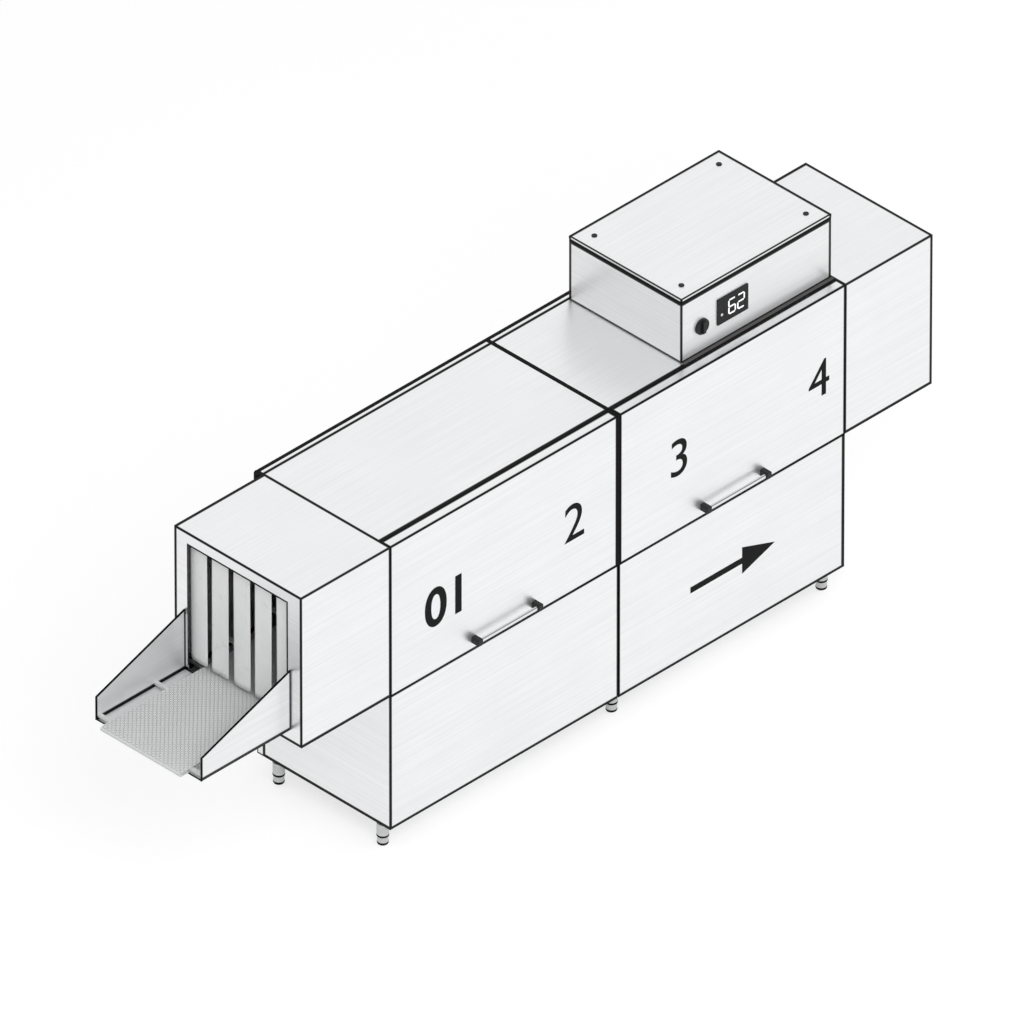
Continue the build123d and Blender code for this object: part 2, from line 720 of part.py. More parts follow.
# Wash tanks: open pans welded between the top rails of the base frames
outlet_z = shelf_top + pump_height + pump_outlet_rise
tank_bottom = outlet_z + tank_lift
pump_z = shelf_top + pump_height
riser_y = y_back - tube - sheet - riser_wall_gap - riser_radius
pump_y = riser_y - volute_radius + riser_radius + volute_wall
suction_bore = suction_radius - pipe_wall
drain_bore = drain_radius - pipe_wall
drain_y = frame_front + tube + drain_reach
tray_z = waist - tray_drop - tray_height
with BuildPart() as wash_tanks:
    for (start, end), pump_at in zip(frame_spans, pump_x):
        middle = (start + end) / 2
        tank_front = frame_front + tube
        tank_back = y_back - tube
        slab((start + tube, tank_front, tank_bottom), (end - tube, tank_back, waist))
        slab(
            (start + tube + sheet, tank_front + sheet, tank_bottom + sheet),
            (end - tube - sheet, tank_back - sheet, waist),
            mode=Mode.SUBTRACT,
        )
        suction_x = pump_at - volute_width / 2 - suction_reach
        for x, y, radius in (
            (pump_at, riser_y, riser_radius + riser_hole_clearance),
            (suction_x, pump_y, suction_bore),
            (middle + drain_from_middle, drain_y, drain_bore),
        ):
            with Locations((x, y, tank_bottom)):
                Cylinder(radius, sheet, align=BOTTOM, mode=Mode.SUBTRACT)
        for x in (middle - tray_length / 2, middle + tray_length / 2 - tray_bar):
            slab((x, tank_front + sheet, tray_z - tray_bar), (x + tray_bar, tank_back - sheet, tray_z))
wash_tanks.part.label = "wash_tanks"
export_step(wash_tanks.part, "parts/wash_tanks.step")

# Strainer trays with a punched floor, lying on the bars across the tanks
with BuildPart() as strainer_trays:
    for start, end in frame_spans:
        middle = (start + end) / 2
        low = Vector(middle - tray_length / 2, frame_front + tube + sheet, tray_z)
        high = low + Vector(tray_length, tray_width, tray_height)
        wall = Vector(sheet, sheet, 0)
        slab(tuple(low), tuple(high))
        slab(tuple(low + wall + Vector(0, 0, sheet)), tuple(high - wall), mode=Mode.SUBTRACT)
        with Locations((middle, low.Y + tray_width / 2, tray_z)):
            columns = int((tray_length - tray_hole_pitch) / tray_hole_pitch)
            rows = int((tray_width - tray_hole_pitch) / tray_hole_pitch)
            with GridLocations(tray_hole_pitch, tray_hole_pitch, columns, rows):
                Cylinder(tray_hole_radius, sheet, align=BOTTOM, mode=Mode.SUBTRACT)
strainer_trays.part.label = "strainer_trays"
export_step(strainer_trays.part, "parts/strainer_trays.step")

# Immersion heaters: hairpin rods in a flange on the left wall of each tank
with BuildPart() as heaters:
    for start, end in frame_spans:
        wall_x = start + tube + sheet
        heater_z = tank_bottom + heater_rise
        with Locations((wall_x, 0, heater_z)):
            Box(
                heater_flange_thickness,
                heater_flange,
                heater_flange,
                align=(Align.MIN, Align.CENTER, Align.CENTER),
            )
        for index in range(heater_rod_count):
            z = heater_z + (index - (heater_rod_count - 1) / 2) * heater_rod_spacing
            near = wall_x + heater_flange_thickness / 2
            far = wall_x + heater_length
            with BuildLine() as hairpin:
                Line((near, -heater_bend, z), (far, -heater_bend, z))
                ThreePointArc((far, -heater_bend, z), (far + heater_bend, 0, z), (far, heater_bend, z))
                Line((far, heater_bend, z), (near, heater_bend, z))
            with BuildSketch(Plane(origin=(near, -heater_bend, z), z_dir=(1, 0, 0))):
                Circle(heater_rod_radius)
            sweep(path=hairpin.wires()[0])
heaters.part.label = "heaters"
export_step(heaters.part, "parts/heaters.step")

# Pumps on their shelves: volute, motor, suction elbow from the tank and outlet to the riser
cavity_radius = volute_radius - volute_wall
cavity_half = volute_width / 2 - volute_wall
with BuildPart() as pumps:
    for pump_at in pump_x:
        suction_x = pump_at - volute_width / 2 - suction_reach
        left_face = pump_at - volute_width / 2
        right_face = pump_at + volute_width / 2
        bar(volute_radius, (left_face, pump_y, pump_z), (right_face, pump_y, pump_z))
        bar(pump_motor_radius, (right_face, pump_y, pump_z), (right_face + pump_motor_length, pump_y, pump_z))
        slab(
            (left_face, pump_y - pump_foot_width / 2, shelf_top),
            (right_face + pump_motor_length, pump_y + pump_foot_width / 2, pump_z),
        )
        bar(riser_radius, (pump_at, riser_y, pump_z), (pump_at, riser_y, outlet_z))
        bar(suction_radius, (left_face, pump_y, pump_z), (suction_x, pump_y, pump_z))
        with Locations((suction_x, pump_y, pump_z)):
            Sphere(suction_radius)
        bar(suction_radius, (suction_x, pump_y, pump_z), (suction_x, pump_y, tank_bottom))
    for pump_at in pump_x:
        suction_x = pump_at - volute_width / 2 - suction_reach
        cavity_left = pump_at - cavity_half
        cavity_right = pump_at + cavity_half
        cut = Mode.SUBTRACT
        bar(cavity_radius, (cavity_left, pump_y, pump_z), (cavity_right, pump_y, pump_z), mode=cut)
        bar(suction_bore, (cavity_left, pump_y, pump_z), (suction_x, pump_y, pump_z), mode=cut)
        bar(suction_bore, (suction_x, pump_y, pump_z), (suction_x, pump_y, tank_bottom), mode=cut)
        bar(riser_radius - pipe_wall, (pump_at, riser_y, pump_z), (pump_at, riser_y, outlet_z), mode=cut)
        shaft_bore = pump_shaft_radius + running_clearance
        shaft_room = cavity_right + pump_shaft_length + volute_wall
        bar(shaft_bore, (cavity_right, pump_y, pump_z), (shaft_room, pump_y, pump_z), mode=cut)
pumps.part.label = "pumps"
export_step(pumps.part, "parts/pumps.step")

# Impellers: a disc with six vanes on the pump shaft
for number, pump_at in enumerate(pump_x, start=1):
    with BuildPart() as impeller:
        disc_right = pump_at + cavity_half - impeller_gap
        disc_left = disc_right - impeller_disc
        vane_left = disc_left - impeller_vane
        impeller_radius = cavity_radius - impeller_gap
        shaft_tip = pump_at + cavity_half + pump_shaft_length
        bar(impeller_radius, (disc_left, pump_y, pump_z), (disc_right, pump_y, pump_z))
        bar(impeller_hub_radius, (vane_left, pump_y, pump_z), (disc_left, pump_y, pump_z))
        bar(pump_shaft_radius, (disc_right, pump_y, pump_z), (shaft_tip, pump_y, pump_z))
        with BuildSketch(Plane.YZ.offset(vane_left)):
            with Locations((pump_y, pump_z)):
                with PolarLocations(0, 6):
                    Rectangle(impeller_radius - sheet, impeller_disc, align=(Align.MIN, Align.CENTER))
        extrude(amount=impeller_vane)
    impeller.part.label = f"impeller_{number}"
    export_step(impeller.part, f"parts/impeller_{number}.step")

# Spray pipes: a riser from each pump, two headers and the arms above and below the belt
upper_arm_z = rail_top - upper_arm_drop
lower_arm_z = waist - lower_arm_drop
arm_tip = post_inside + arm_front_gap
arm_half = (arm_count - 1) / 2 * arm_spacing
for number, ((start, end), pump_at) in enumerate(zip(frame_spans, pump_x), start=1):
    middle = (start + end) / 2
    with BuildPart() as spray_pipes:
        for wall, mode in ((0, Mode.ADD), (pipe_wall, Mode.SUBTRACT)):
            pipe = riser_radius - wall
            bar(pipe, (pump_at, riser_y, outlet_z), (pump_at, riser_y, upper_arm_z), mode=mode)
            for z in (lower_arm_z, upper_arm_z):
                header_end = arm_half + pipe
                bar(pipe, (middle - header_end, riser_y, z), (middle + header_end, riser_y, z), mode=mode)
                for index in range(arm_count):
                    x = middle - arm_half + index * arm_spacing
                    bar(arm_radius - wall, (x, riser_y, z), (x, arm_tip + wall, z), mode=mode)
        for z, side in ((lower_arm_z, 1), (upper_arm_z, -1)):
            with Locations((middle, 0, z + side * arm_radius)):
                with GridLocations(arm_spacing, nozzle_spacing, arm_count, nozzle_count):
                    Cylinder(nozzle_radius, nozzle_length)
    spray_pipes.part.label = f"spray_pipes_{number}"
    export_step(spray_pipes.part, f"parts/spray_pipes_{number}.step")

# Drain valves under the tanks, with a level outlet towards the front
drain_z = tank_bottom - drain_drop
valve_y = drain_y - drain_reach / 2
outlet_y = frame_front + tube
drain_xs = [(start + end) / 2 + drain_from_middle for start, end in frame_spans]
with BuildPart() as drain_valves:
    for x in drain_xs:
        for radius, end_y, mode in (
            (drain_radius, outlet_y, Mode.ADD),
            (drain_bore, valve_y + valve_radius, Mode.SUBTRACT),
        ):
            inlet = (x, drain_y, tank_bottom)
            with BuildLine() as bend:
                FilletPolyline(inlet, (x, drain_y, drain_z), (x, end_y, drain_z), radius=drain_bend)
            with BuildSketch(Plane(origin=inlet, z_dir=(0, 0, -1))):
                Circle(radius)
            sweep(path=bend.wires()[0], mode=mode)
        with Locations((x, valve_y, drain_z)):
            Sphere(valve_radius)
        bar(valve_stem_radius, (x, valve_y, drain_z), (x, valve_y, drain_z + valve_stem_length))
        bar(drain_bore, (x, valve_y - valve_radius, drain_z), (x, outlet_y, drain_z), mode=Mode.SUBTRACT)
drain_valves.part.label = "drain_valves"
export_step(drain_valves.part, "parts/drain_valves.step")

# Drain levers: across the pipe when shut
for number, x in enumerate(drain_xs, start=1):
    lever_z = drain_z + lever_rise
    with BuildPart() as drain_lever:
        with Locations((x, valve_y, lever_z)):
            Cylinder(lever_hub_radius, lever_thickness, align=BOTTOM)
            Box(lever_length, lever_width, lever_thickness, align=(Align.MIN, Align.CENTER, Align.MIN))
        fillet(drain_lever.edges().filter_by(Axis.Z).sort_by(Axis.X)[-2:], edge_round)
        with Locations((x, valve_y, lever_z)):
            bore = valve_stem_radius + running_clearance
            Cylinder(bore, lever_thickness, align=BOTTOM, mode=Mode.SUBTRACT)
    drain_lever.part.label = f"drain_lever_{number}"
    export_step(drain_lever.part, f"parts/drain_lever_{number}.step")

# Control box: a folded shell on the roof of the second module
box_left = x_right - box_length
box_front = y_front + box_setback
box_top = roof + box_height
knob_x = box_left + knob_from_left
knob_z = roof + knob_rise
key_x = box_left + display_from_left + key_inset
key_z = roof + display_rise + key_rise
with BuildPart() as control_box:
    slab((box_left, box_front, roof), (x_right, y_back, box_top))
    fillet(control_box.edges().filter_by(Axis.Z), box_round)
    slab(
        (box_left + sheet, box_front + sheet, roof + sheet),
        (x_right - sheet, y_back - sheet, box_top),
        mode=Mode.SUBTRACT,
    )
    stem_bore = knob_stem_radius + running_clearance
    bar(stem_bore, (knob_x, box_front, knob_z), (knob_x, box_front + sheet, knob_z), mode=Mode.SUBTRACT)
    key_hole = key_radius + key_wall_clearance
    bar(key_hole, (key_x, box_front, key_z), (key_x, box_front + sheet, key_z), mode=Mode.SUBTRACT)
control_box.part.label = "control_box"
export_step(control_box.part, "parts/control_box.step")

# Rubber seal between the box and its lid
with BuildPart() as lid_seal:
    slab((box_left, box_front, box_top), (x_right, y_back, box_top + seal_height))
    fillet(lid_seal.edges().filter_by(Axis.Z), box_round)
    slab(
        (box_left + seal_width, box_front + seal_width, box_top),
        (x_right - seal_width, y_back - seal_width, box_top + seal_height),
        mode=Mode.SUBTRACT,
    )
lid_seal.part.label = "lid_seal"
export_step(lid_seal.part, "parts/lid_seal.step")

# Lid with a thick folded rim
lid_bottom = box_top + seal_height
lid_top = lid_bottom + lid_height
lid_low = (box_left - lid_overhang, box_front - lid_overhang)
lid_high = (x_right + lid_overhang, y_back + lid_overhang)
with BuildPart() as control_lid:
    slab((*lid_low, lid_bottom), (*lid_high, lid_top))
    fillet(control_lid.edges().filter_by(Axis.Z), box_round)
    fillet(control_lid.edges().group_by(Axis.Z)[-1], edge_round)
    slab(
        (box_left + seal_width, box_front + seal_width, lid_bottom),
        (x_right - seal_width, y_back - seal_width, lid_top - sheet),
        mode=Mode.SUBTRACT,
    )
control_lid.part.label = "control_lid"
export_step(control_lid.part, "parts/control_lid.step")

# Domed lid screws
with BuildPart() as lid_screws:
    screw_xs = (lid_low[0] + screw_inset, lid_high[0] - screw_inset)
    screw_ys = (lid_low[1] + screw_inset, lid_high[1] - screw_inset)
    with Locations(*[(x, y, lid_top) for x in screw_xs for y in screw_ys]):
        Cylinder(screw_radius, screw_height, align=BOTTOM)
    fillet(lid_screws.edges().group_by(Axis.Z)[-1], screw_height / 2)
lid_screws.part.label = "lid_screws"
export_step(lid_screws.part, "parts/lid_screws.step")

# Main switch: a round knob with a grip bar, on a stem through the front of the box
with BuildPart() as switch_knob:
    plate_back = box_front - bed_clearance
    plate_front = plate_back - knob_plate
    bar(knob_radius, (knob_x, plate_back, knob_z), (knob_x, plate_front, knob_z))
    fillet(switch_knob.edges().group_by(Axis.Y)[0], edge_round)
    with Locations((knob_x, plate_front, knob_z)):
        Box(
            knob_grip_width,
            knob_grip_height,
            2 * knob_radius - knob_grip_width,
            align=(Align.CENTER, Align.MAX, Align.CENTER),
        )
    fillet(switch_knob.edges().group_by(Axis.Y)[0], edge_round)
    bar(knob_stem_radius, (knob_x, plate_back, knob_z), (knob_x, box_front + knob_stem_length, knob_z))
switch_knob.part.label = "switch_knob"
export_step(switch_knob.part, "parts/switch_knob.step")

# Display panel on the front of the box, with the bore of its key
display_low = (box_left + display_from_left, roof + display_rise)
with BuildPart() as display_panel:
    slab(
        (display_low[0], box_front - display_thickness, display_low[1]),
        (display_low[0] + display_width, box_front, display_low[1] + display_height),
    )
    fillet(display_panel.edges().filter_by(Axis.Y), box_round)
    bar(
        key_radius + running_clearance,
        (key_x, box_front - display_thickness, key_z),
        (key_x, box_front, key_z),
        mode=Mode.SUBTRACT,
    )
display_panel.part.label = "display_panel"
export_step(display_panel.part, "parts/display_panel.step")

# Start key in the display panel
key_front = box_front - display_thickness - key_proud
with BuildPart() as start_key:
    bar(key_radius, (key_x, key_front, key_z), (key_x, key_front + key_depth, key_z))
    fillet(start_key.edges().group_by(Axis.Y)[0], key_proud / 2)
start_key.part.label = "start_key"
export_step(start_key.part, "parts/start_key.step")
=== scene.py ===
import json
import math

import bpy
import numpy as np
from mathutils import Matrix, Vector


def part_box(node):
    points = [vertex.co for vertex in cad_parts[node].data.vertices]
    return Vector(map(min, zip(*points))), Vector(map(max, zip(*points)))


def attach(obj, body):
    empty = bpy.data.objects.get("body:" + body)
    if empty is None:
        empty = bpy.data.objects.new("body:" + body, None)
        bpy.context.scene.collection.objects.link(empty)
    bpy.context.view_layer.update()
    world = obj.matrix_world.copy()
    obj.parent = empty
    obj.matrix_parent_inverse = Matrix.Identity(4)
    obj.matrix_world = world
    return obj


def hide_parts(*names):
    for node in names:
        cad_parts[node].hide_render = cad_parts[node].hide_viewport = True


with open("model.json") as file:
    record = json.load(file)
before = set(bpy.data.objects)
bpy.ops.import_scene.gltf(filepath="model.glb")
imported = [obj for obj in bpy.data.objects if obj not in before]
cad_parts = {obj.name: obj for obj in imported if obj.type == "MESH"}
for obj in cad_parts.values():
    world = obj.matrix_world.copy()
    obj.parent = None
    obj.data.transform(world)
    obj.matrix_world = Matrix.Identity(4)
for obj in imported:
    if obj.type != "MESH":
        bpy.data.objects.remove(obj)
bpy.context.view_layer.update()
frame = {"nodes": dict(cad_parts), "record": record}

# Outer skin: hoods, doors, panels, roofs, chute and control box are folded from 2 mm stainless
# sheet, brushed along the machine. Each fold and edge carries a painted dark line of shade.


def add(tree, kind, inputs=(), **settings):
    """Add a node; inputs give a socket, by name or number, a plain value or another node's socket."""
    made = tree.nodes.new(kind)
    for key, value in settings.items():
        setattr(made, key, value)
    for key, value in dict(inputs).items():
        if isinstance(value, bpy.types.NodeSocket):
            tree.links.new(value, made.inputs[key])
        else:
            made.inputs[key].default_value = value
    return made


def worked(tree, operation, *values):
    """Result of one Math node, such as MULTIPLY or MAXIMUM, on numbers or sockets."""
    return add(tree, "ShaderNodeMath", dict(enumerate(values)), operation=operation).outputs[0]


def worked_vector(tree, operation, *values):
    """Result of one Vector Math node on (x, y, z) sockets, worked part by part."""
    return add(tree, "ShaderNodeVectorMath", dict(enumerate(values)), operation=operation).outputs[0]


def spread(tree, value, low, high, to_low, to_high):
    """Map a value from low..high to to_low..to_high, held at the ends."""
    inputs = {"Value": value, "From Min": low, "From Max": high, "To Min": to_low, "To Max": to_high}
    return add(tree, "ShaderNodeMapRange", inputs).outputs["Result"]


def tint(tree, factor, first, second):
    """Mix two colours, each a plain colour or a socket, by a factor."""
    return add(tree, "ShaderNodeMix", {0: factor, 6: first, 7: second}, data_type="RGBA").outputs[2]


def bumped(tree, sockets, height, strength, depth):
    """Raise and lower a surface by a height mask, over a depth in metres."""
    bump = add(tree, "ShaderNodeBump", {"Height": height, "Strength": strength, "Distance": depth})
    tree.links.new(bump.outputs[0], sockets["Normal"])


def new_group(name, inputs, output):
    """Start a shader node group with number or (x, y, z) inputs {name: default} and one number output."""
    tree = bpy.data.node_groups.new(name, "ShaderNodeTree")
    for key, value in inputs.items():
        kind = "NodeSocketVector" if isinstance(value, tuple) else "NodeSocketFloat"
        tree.interface.new_socket(key, in_out="INPUT", socket_type=kind).default_value = value
    tree.interface.new_socket(output, in_out="OUTPUT", socket_type="NodeSocketFloat")
    return tree, add(tree, "NodeGroupInput").outputs, add(tree, "NodeGroupOutput").inputs


def place_group(tree, group, **inputs):
    """Put a finished node group into a material and give its output."""
    return add(tree, "ShaderNodeGroup", inputs, node_tree=group).outputs[0]


def new_finish(name, **constant):
    """A material with a Principled shader whose named sockets take constant values."""
    material = bpy.data.materials.new(name)
    material.use_nodes = True
    shader = material.node_tree.nodes["Principled BSDF"]
    for key, value in constant.items():
        shader.inputs[key.replace("_", " ")].default_value = value
    return material, material.node_tree, shader.inputs


def made_of(slot):
    """Names of the CAD nodes of one material slot."""
    return [part["node"] for part in frame["record"]["subparts"] if part["material_slot"] == slot]


def dress(nodes, material):
    """Give CAD nodes their finish."""
    for node in nodes:
        mesh = frame["nodes"][node].data
        mesh.materials.clear()
        mesh.materials.append(material)


# Streaks lie along X on the sides and tops, and along Y on faces that look along X
brushed_grain, given, result = new_group("brushed grain", {"Along": 1.5, "Across": 150.0}, "Streak")
slow, quick = given["Along"], given["Across"]
end_face_slope = 0.7
spot = add(brushed_grain, "ShaderNodeTexCoord").outputs
sideways = add(brushed_grain, "ShaderNodeSeparateXYZ", {0: spot["Normal"]}).outputs["X"]
end_face = worked(brushed_grain, "GREATER_THAN", worked(brushed_grain, "ABSOLUTE", sideways), end_face_slope)
long_way = add(brushed_grain, "ShaderNodeCombineXYZ", {0: slow, 1: quick, 2: quick}).outputs[0]
end_way = add(brushed_grain, "ShaderNodeCombineXYZ", {0: quick, 1: slow, 2: quick}).outputs[0]
way = add(brushed_grain, "ShaderNodeMix", {0: end_face, 4: long_way, 5: end_way}, data_type="VECTOR")
stretched = worked_vector(brushed_grain, "MULTIPLY", spot["Object"], way.outputs[1])
streak = add(brushed_grain, "ShaderNodeTexNoise", {"Vector": stretched, "Scale": 1.0, "Detail": 3.0})
brushed_grain.links.new(streak.outputs[0], result["Streak"])

# Cloudy patches a hand's width across, from wiping and drying
wipe_marks, given, result = new_group("wipe marks", {"Size": 4.0}, "Cloud")
spot = add(wipe_marks, "ShaderNodeTexCoord").outputs["Object"]
cloud = add(wipe_marks, "ShaderNodeTexNoise", {"Vector": spot, "Scale": given["Size"], "Detail": 4.0})
wipe_marks.links.new(cloud.outputs[0], result["Cloud"])

# Edge mask: where the normal averaged over a small radius leaves the face's own. Moulded parts wear
# along it; on the steel it paints shade, a dark line along every edge.
worn_edge, given, result = new_group("edge wear and painted shade", {"Radius": 0.004}, "Line")
wear_starts, wear_full = 0.985, 0.88
rounded = add(worn_edge, "ShaderNodeBevel", {"Radius": given["Radius"]}, samples=6).outputs["Normal"]
own = add(worn_edge, "ShaderNodeNewGeometry").outputs["Normal"]
agree = add(worn_edge, "ShaderNodeVectorMath", {0: rounded, 1: own}, operation="DOT_PRODUCT").outputs["Value"]
worn_edge.links.new(spread(worn_edge, agree, wear_starts, wear_full, 0.0, 1.0), result["Line"])

# Painted fold shade: a mask for a dark line along the folds of a box-shaped sheet piece, from the
# middle one of the distances to its sides in x, y and z
fold_inputs = {"Low": (0.0, 0.0, 0.0), "High": (1.0, 1.0, 1.0), "Width": 0.004}
fold_line, given, result = new_group("painted fold shade", fold_inputs, "Line")
line_outside, line_full = 1.15, 0.75
spot = add(fold_line, "ShaderNodeTexCoord").outputs["Object"]
apart = [worked_vector(fold_line, "SUBTRACT", spot, given[side]) for side in ("Low", "High")]
nearest = worked_vector(fold_line, "MINIMUM", *(worked_vector(fold_line, "ABSOLUTE", gap) for gap in apart))
x, y, z = add(fold_line, "ShaderNodeSeparateXYZ", {0: nearest}).outputs
less, more = worked(fold_line, "MINIMUM", x, y), worked(fold_line, "MAXIMUM", x, y)
second = worked(fold_line, "MAXIMUM", less, worked(fold_line, "MINIMUM", more, z))
share = worked(fold_line, "DIVIDE", second, given["Width"])
fold_line.links.new(spread(fold_line, share, line_outside, line_full, 0.0, 1.0), result["Line"])

skin_metal, matt_metal = 0.9, 0.45
# Colour of the painted shade lines along the steel's edges and folds
line_black = (0.005, 0.005, 0.005, 1.0)
streak_low, streak_high = 0.32, 0.68
shade_low, shade_high, shade_share = 0.35, 0.7, 0.25
wiped_low, wiped_high = 0.3, 0.7
steel_polish, steel_dulling = 0.04, 0.06


def brushed_steel(name, bright, shade, rough, line_depth,
                  node=None, width=0.004, metal=skin_metal, inset=None):
    """Stainless steel: streaks drift between two greys, wiping changes the gloss, and painted shade
    draws a dark line along the edges. A node's box adds painted dark lines along its outer sides
    too. The inset, low and high sides in x, y and z, moves a line in from its edge and makes it
    bolder, or out and makes it finer."""
    material, tree, sockets = new_finish(name, Metallic=metal)
    lines = place_group(tree, brushed_grain)
    wiped = place_group(tree, wipe_marks)
    grey = tint(tree, spread(tree, lines, streak_low, streak_high, 0.0, 1.0), shade, bright)
    grey = tint(tree, spread(tree, wiped, shade_low, shade_high, 0.0, shade_share), grey, shade)
    # Painted shade: dark lines along the steel's edges from the edge mask, and along a node's box folds
    edge = place_group(tree, worn_edge)
    if node:
        low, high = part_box(node)
        if inset:
            low, high = low + Vector(inset[0]), high - Vector(inset[1])
        edge = worked(tree, "MAXIMUM", edge, place_group(tree, fold_line, Low=low, High=high, Width=width))
    darkness = worked(tree, "MULTIPLY", edge, line_depth)
    tree.links.new(tint(tree, darkness, grey, line_black), sockets["Base Color"])
    gloss = spread(tree, wiped, wiped_low, wiped_high, rough - steel_polish, rough + steel_dulling)
    tree.links.new(gloss, sockets["Roughness"])
    bumped(tree, sockets, lines, strength=0.12, depth=0.0006)
    return material


sheet_bright, sheet_shade = (0.90, 0.905, 0.91, 1.0), (0.83, 0.835, 0.845, 1.0)
line_width = 0.010
# Insets of the painted shade lines: bold along outer edges, plain along folds, fine where two
# pieces meet
bold, plain, fine = 0.0075, -0.0014, -0.0064
plain_sides = (plain, plain, plain)
line_inset = {
    "infeed_chute": ((plain, plain, bold), plain_sides),
    "infeed_hood": ((plain, plain, bold), (plain, bold, plain)),
    "outfeed_hood": ((plain, plain, bold), (bold, bold, plain)),
    "door_1": ((plain, plain, fine), plain_sides),
    "door_2": ((plain, plain, fine), plain_sides),
    "lower_panel_1": ((plain, plain, bold), (plain, plain, fine)),
    "lower_panel_2": ((plain, plain, bold), (bold, plain, fine)),
    "end_panels": ((plain, plain, bold), plain_sides),
    "control_box": (plain_sides, (bold, bold, plain)),
    "control_lid": ((plain, plain, fine), (bold, bold, fine)),
}
for node in made_of("stainless"):
    metal = matt_metal if node in ("infeed_chute", "control_box") else skin_metal
    inset = line_inset.get(node, (plain_sides, plain_sides))
    dress([node], brushed_steel(f"brushed_{node}", sheet_bright, sheet_shade, rough=0.34, line_depth=1.0,
                                node=node, width=line_width, metal=metal, inset=inset))

# Frames, rails, tanks, trays, pipes, rods and shafts: mill-finish stainless tube, bar and sheet,
# welded and pickled, duller and a little greyer than the skin.
tube_bright, tube_shade = (0.60, 0.61, 0.62, 1.0), (0.50, 0.51, 0.52, 1.0)
# Painted shade: a dark line at half strength along the tubes' edges
frame_steel = brushed_steel("pickled_tube", tube_bright, tube_shade, rough=0.44, line_depth=0.5)
dress(made_of("frame_steel"), frame_steel)

# Handle bars, gas rods and impellers: bright stainless, polished where hands, seals or water run
# over it, with faint painted shade along the edges. The flat handle bars are ground a little
# duller, and painted shade draws darker lines along their edges.
bar_bright, bar_shade = (0.82, 0.83, 0.84, 1.0), (0.76, 0.77, 0.78, 1.0)
bar_line = 0.0035
polished_bar = brushed_steel("polished_bar", bar_bright, bar_shade, rough=0.2, line_depth=0.4)
dress(made_of("polished_steel"), polished_bar)
for node in ("handle_bar_1", "handle_bar_2"):
    dress([node], brushed_steel(f"polished_{node}", bar_bright, bar_shade, rough=0.26, line_depth=0.85,
                                node=node, width=bar_line))

# Feet: turned stainless sleeves round the stems, with cups that screw out to level the machine.
# The turned edges carry painted shade, a dark line along each edge.
foot_bright, foot_shade = (0.66, 0.665, 0.67, 1.0), (0.54, 0.545, 0.55, 1.0)
foot_steel = brushed_steel("turned_foot", foot_bright, foot_shade,
                           rough=0.34, line_depth=1.0, metal=matt_metal)
dress(made_of("foot_steel"), foot_steel)

# Seals: extruded black rubber. The module gasket is a solid strip clamped between the two modules,
# and the lid seal is a solid frame squeezed between the control box and its lid.
broken_low, broken_high, broken_least, broken_most = 0.4, 0.6, 0.1, 0.5
stain_high, stain_share = 0.75, 0.2
moulded_polish, moulded_dulling = 0.06, 0.08


def moulded(name, colour, worn, rough, pebble, depth, shine=0.5):
    """Moulded or painted stuff: a pebbled surface whose edges wear towards a second colour.
    Pebble is about the number of pebbles in a metre, and depth is their height."""
    material, tree, sockets = new_finish(name, Specular_IOR_Level=shine)
    spot = add(tree, "ShaderNodeTexCoord").outputs["Object"]
    pebbles = add(tree, "ShaderNodeTexNoise", {"Vector": spot, "Scale": pebble, "Detail": 3.0}).outputs[0]
    wiped = place_group(tree, wipe_marks, Size=9.0)
    broken = spread(tree, pebbles, broken_low, broken_high, broken_least, broken_most)
    edge = worked(tree, "MULTIPLY", place_group(tree, worn_edge, Radius=0.002), broken)
    cloudy = tint(tree, spread(tree, wiped, wiped_low, stain_high, 0.0, stain_share), colour, worn)
    tree.links.new(tint(tree, edge, cloudy, worn), sockets["Base Color"])
    gloss = spread(tree, wiped, wiped_low, wiped_high, rough - moulded_polish, rough + moulded_dulling)
    tree.links.new(gloss, sockets["Roughness"])
    bumped(tree, sockets, pebbles, strength=0.25, depth=depth)
    return material


rubber = moulded("seal rubber", (0.004, 0.004, 0.004, 1.0), (0.02, 0.02, 0.021, 1.0),
                 rough=0.62, pebble=900.0, depth=0.0003, shine=0.08)
dress(made_of("black_rubber"), rubber)

# Roof lips and rear beads: thin domed rubber profiles pressed into the joints. The lips close the
# slots above the doors, and the beads seal the roofs against the rear covers.


def shape(name, points, faces, material, body):
    """Put worked-out points and faces into a mesh object at the origin that rides on a body."""
    mesh = bpy.data.meshes.new(name)
    places = np.asarray(points, float).reshape(-1, 3).tolist()
    mesh.from_pydata(places, [], [list(map(int, face)) for face in faces])
    mesh.materials.append(material)
    made = bpy.data.objects.new(name, mesh)
    bpy.context.scene.collection.objects.link(made)
    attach(made, body)
    return made


def carried(profile, path, across, rise):
    """A capped bar: profile point (u, v) stands at path + u * across + v * rise.
    The profile runs anticlockwise and the path runs along across x rise, so faces look outwards."""
    profile, path = np.asarray(profile, float), np.asarray(path, float)
    rows = path[:, None] + profile[None, :, :1] * np.asarray(across) + profile[None, :, 1:] * np.asarray(rise)
    count, stops = len(profile), len(path)
    j = np.arange(count)
    k = (j + 1) % count
    start = (np.arange(stops - 1) * count)[:, None]
    sides = np.stack([start + j, start + k, start + count + k, start + count + j], -1).reshape(-1, 4)
    caps = [j[::-1], j + (stops - 1) * count]
    return rows.reshape(-1, 3), [*sides, *caps]


def domed(width, height, steps=8):
    """Profile of a bead: the half ellipse u = width / 2 cos t, v = height sin t on its flat foot."""
    t = np.linspace(0.0, math.pi, steps + 1)
    return np.stack([width / 2 * np.cos(t), height * np.sin(t)], -1)


def bead(name, width, height, path, across, rise, finish=rubber):
    """A domed profile carried along a path on the machine's body."""
    points, faces = carried(domed(width, height), path, across, rise)
    shape(name, points, faces, finish, "machine")


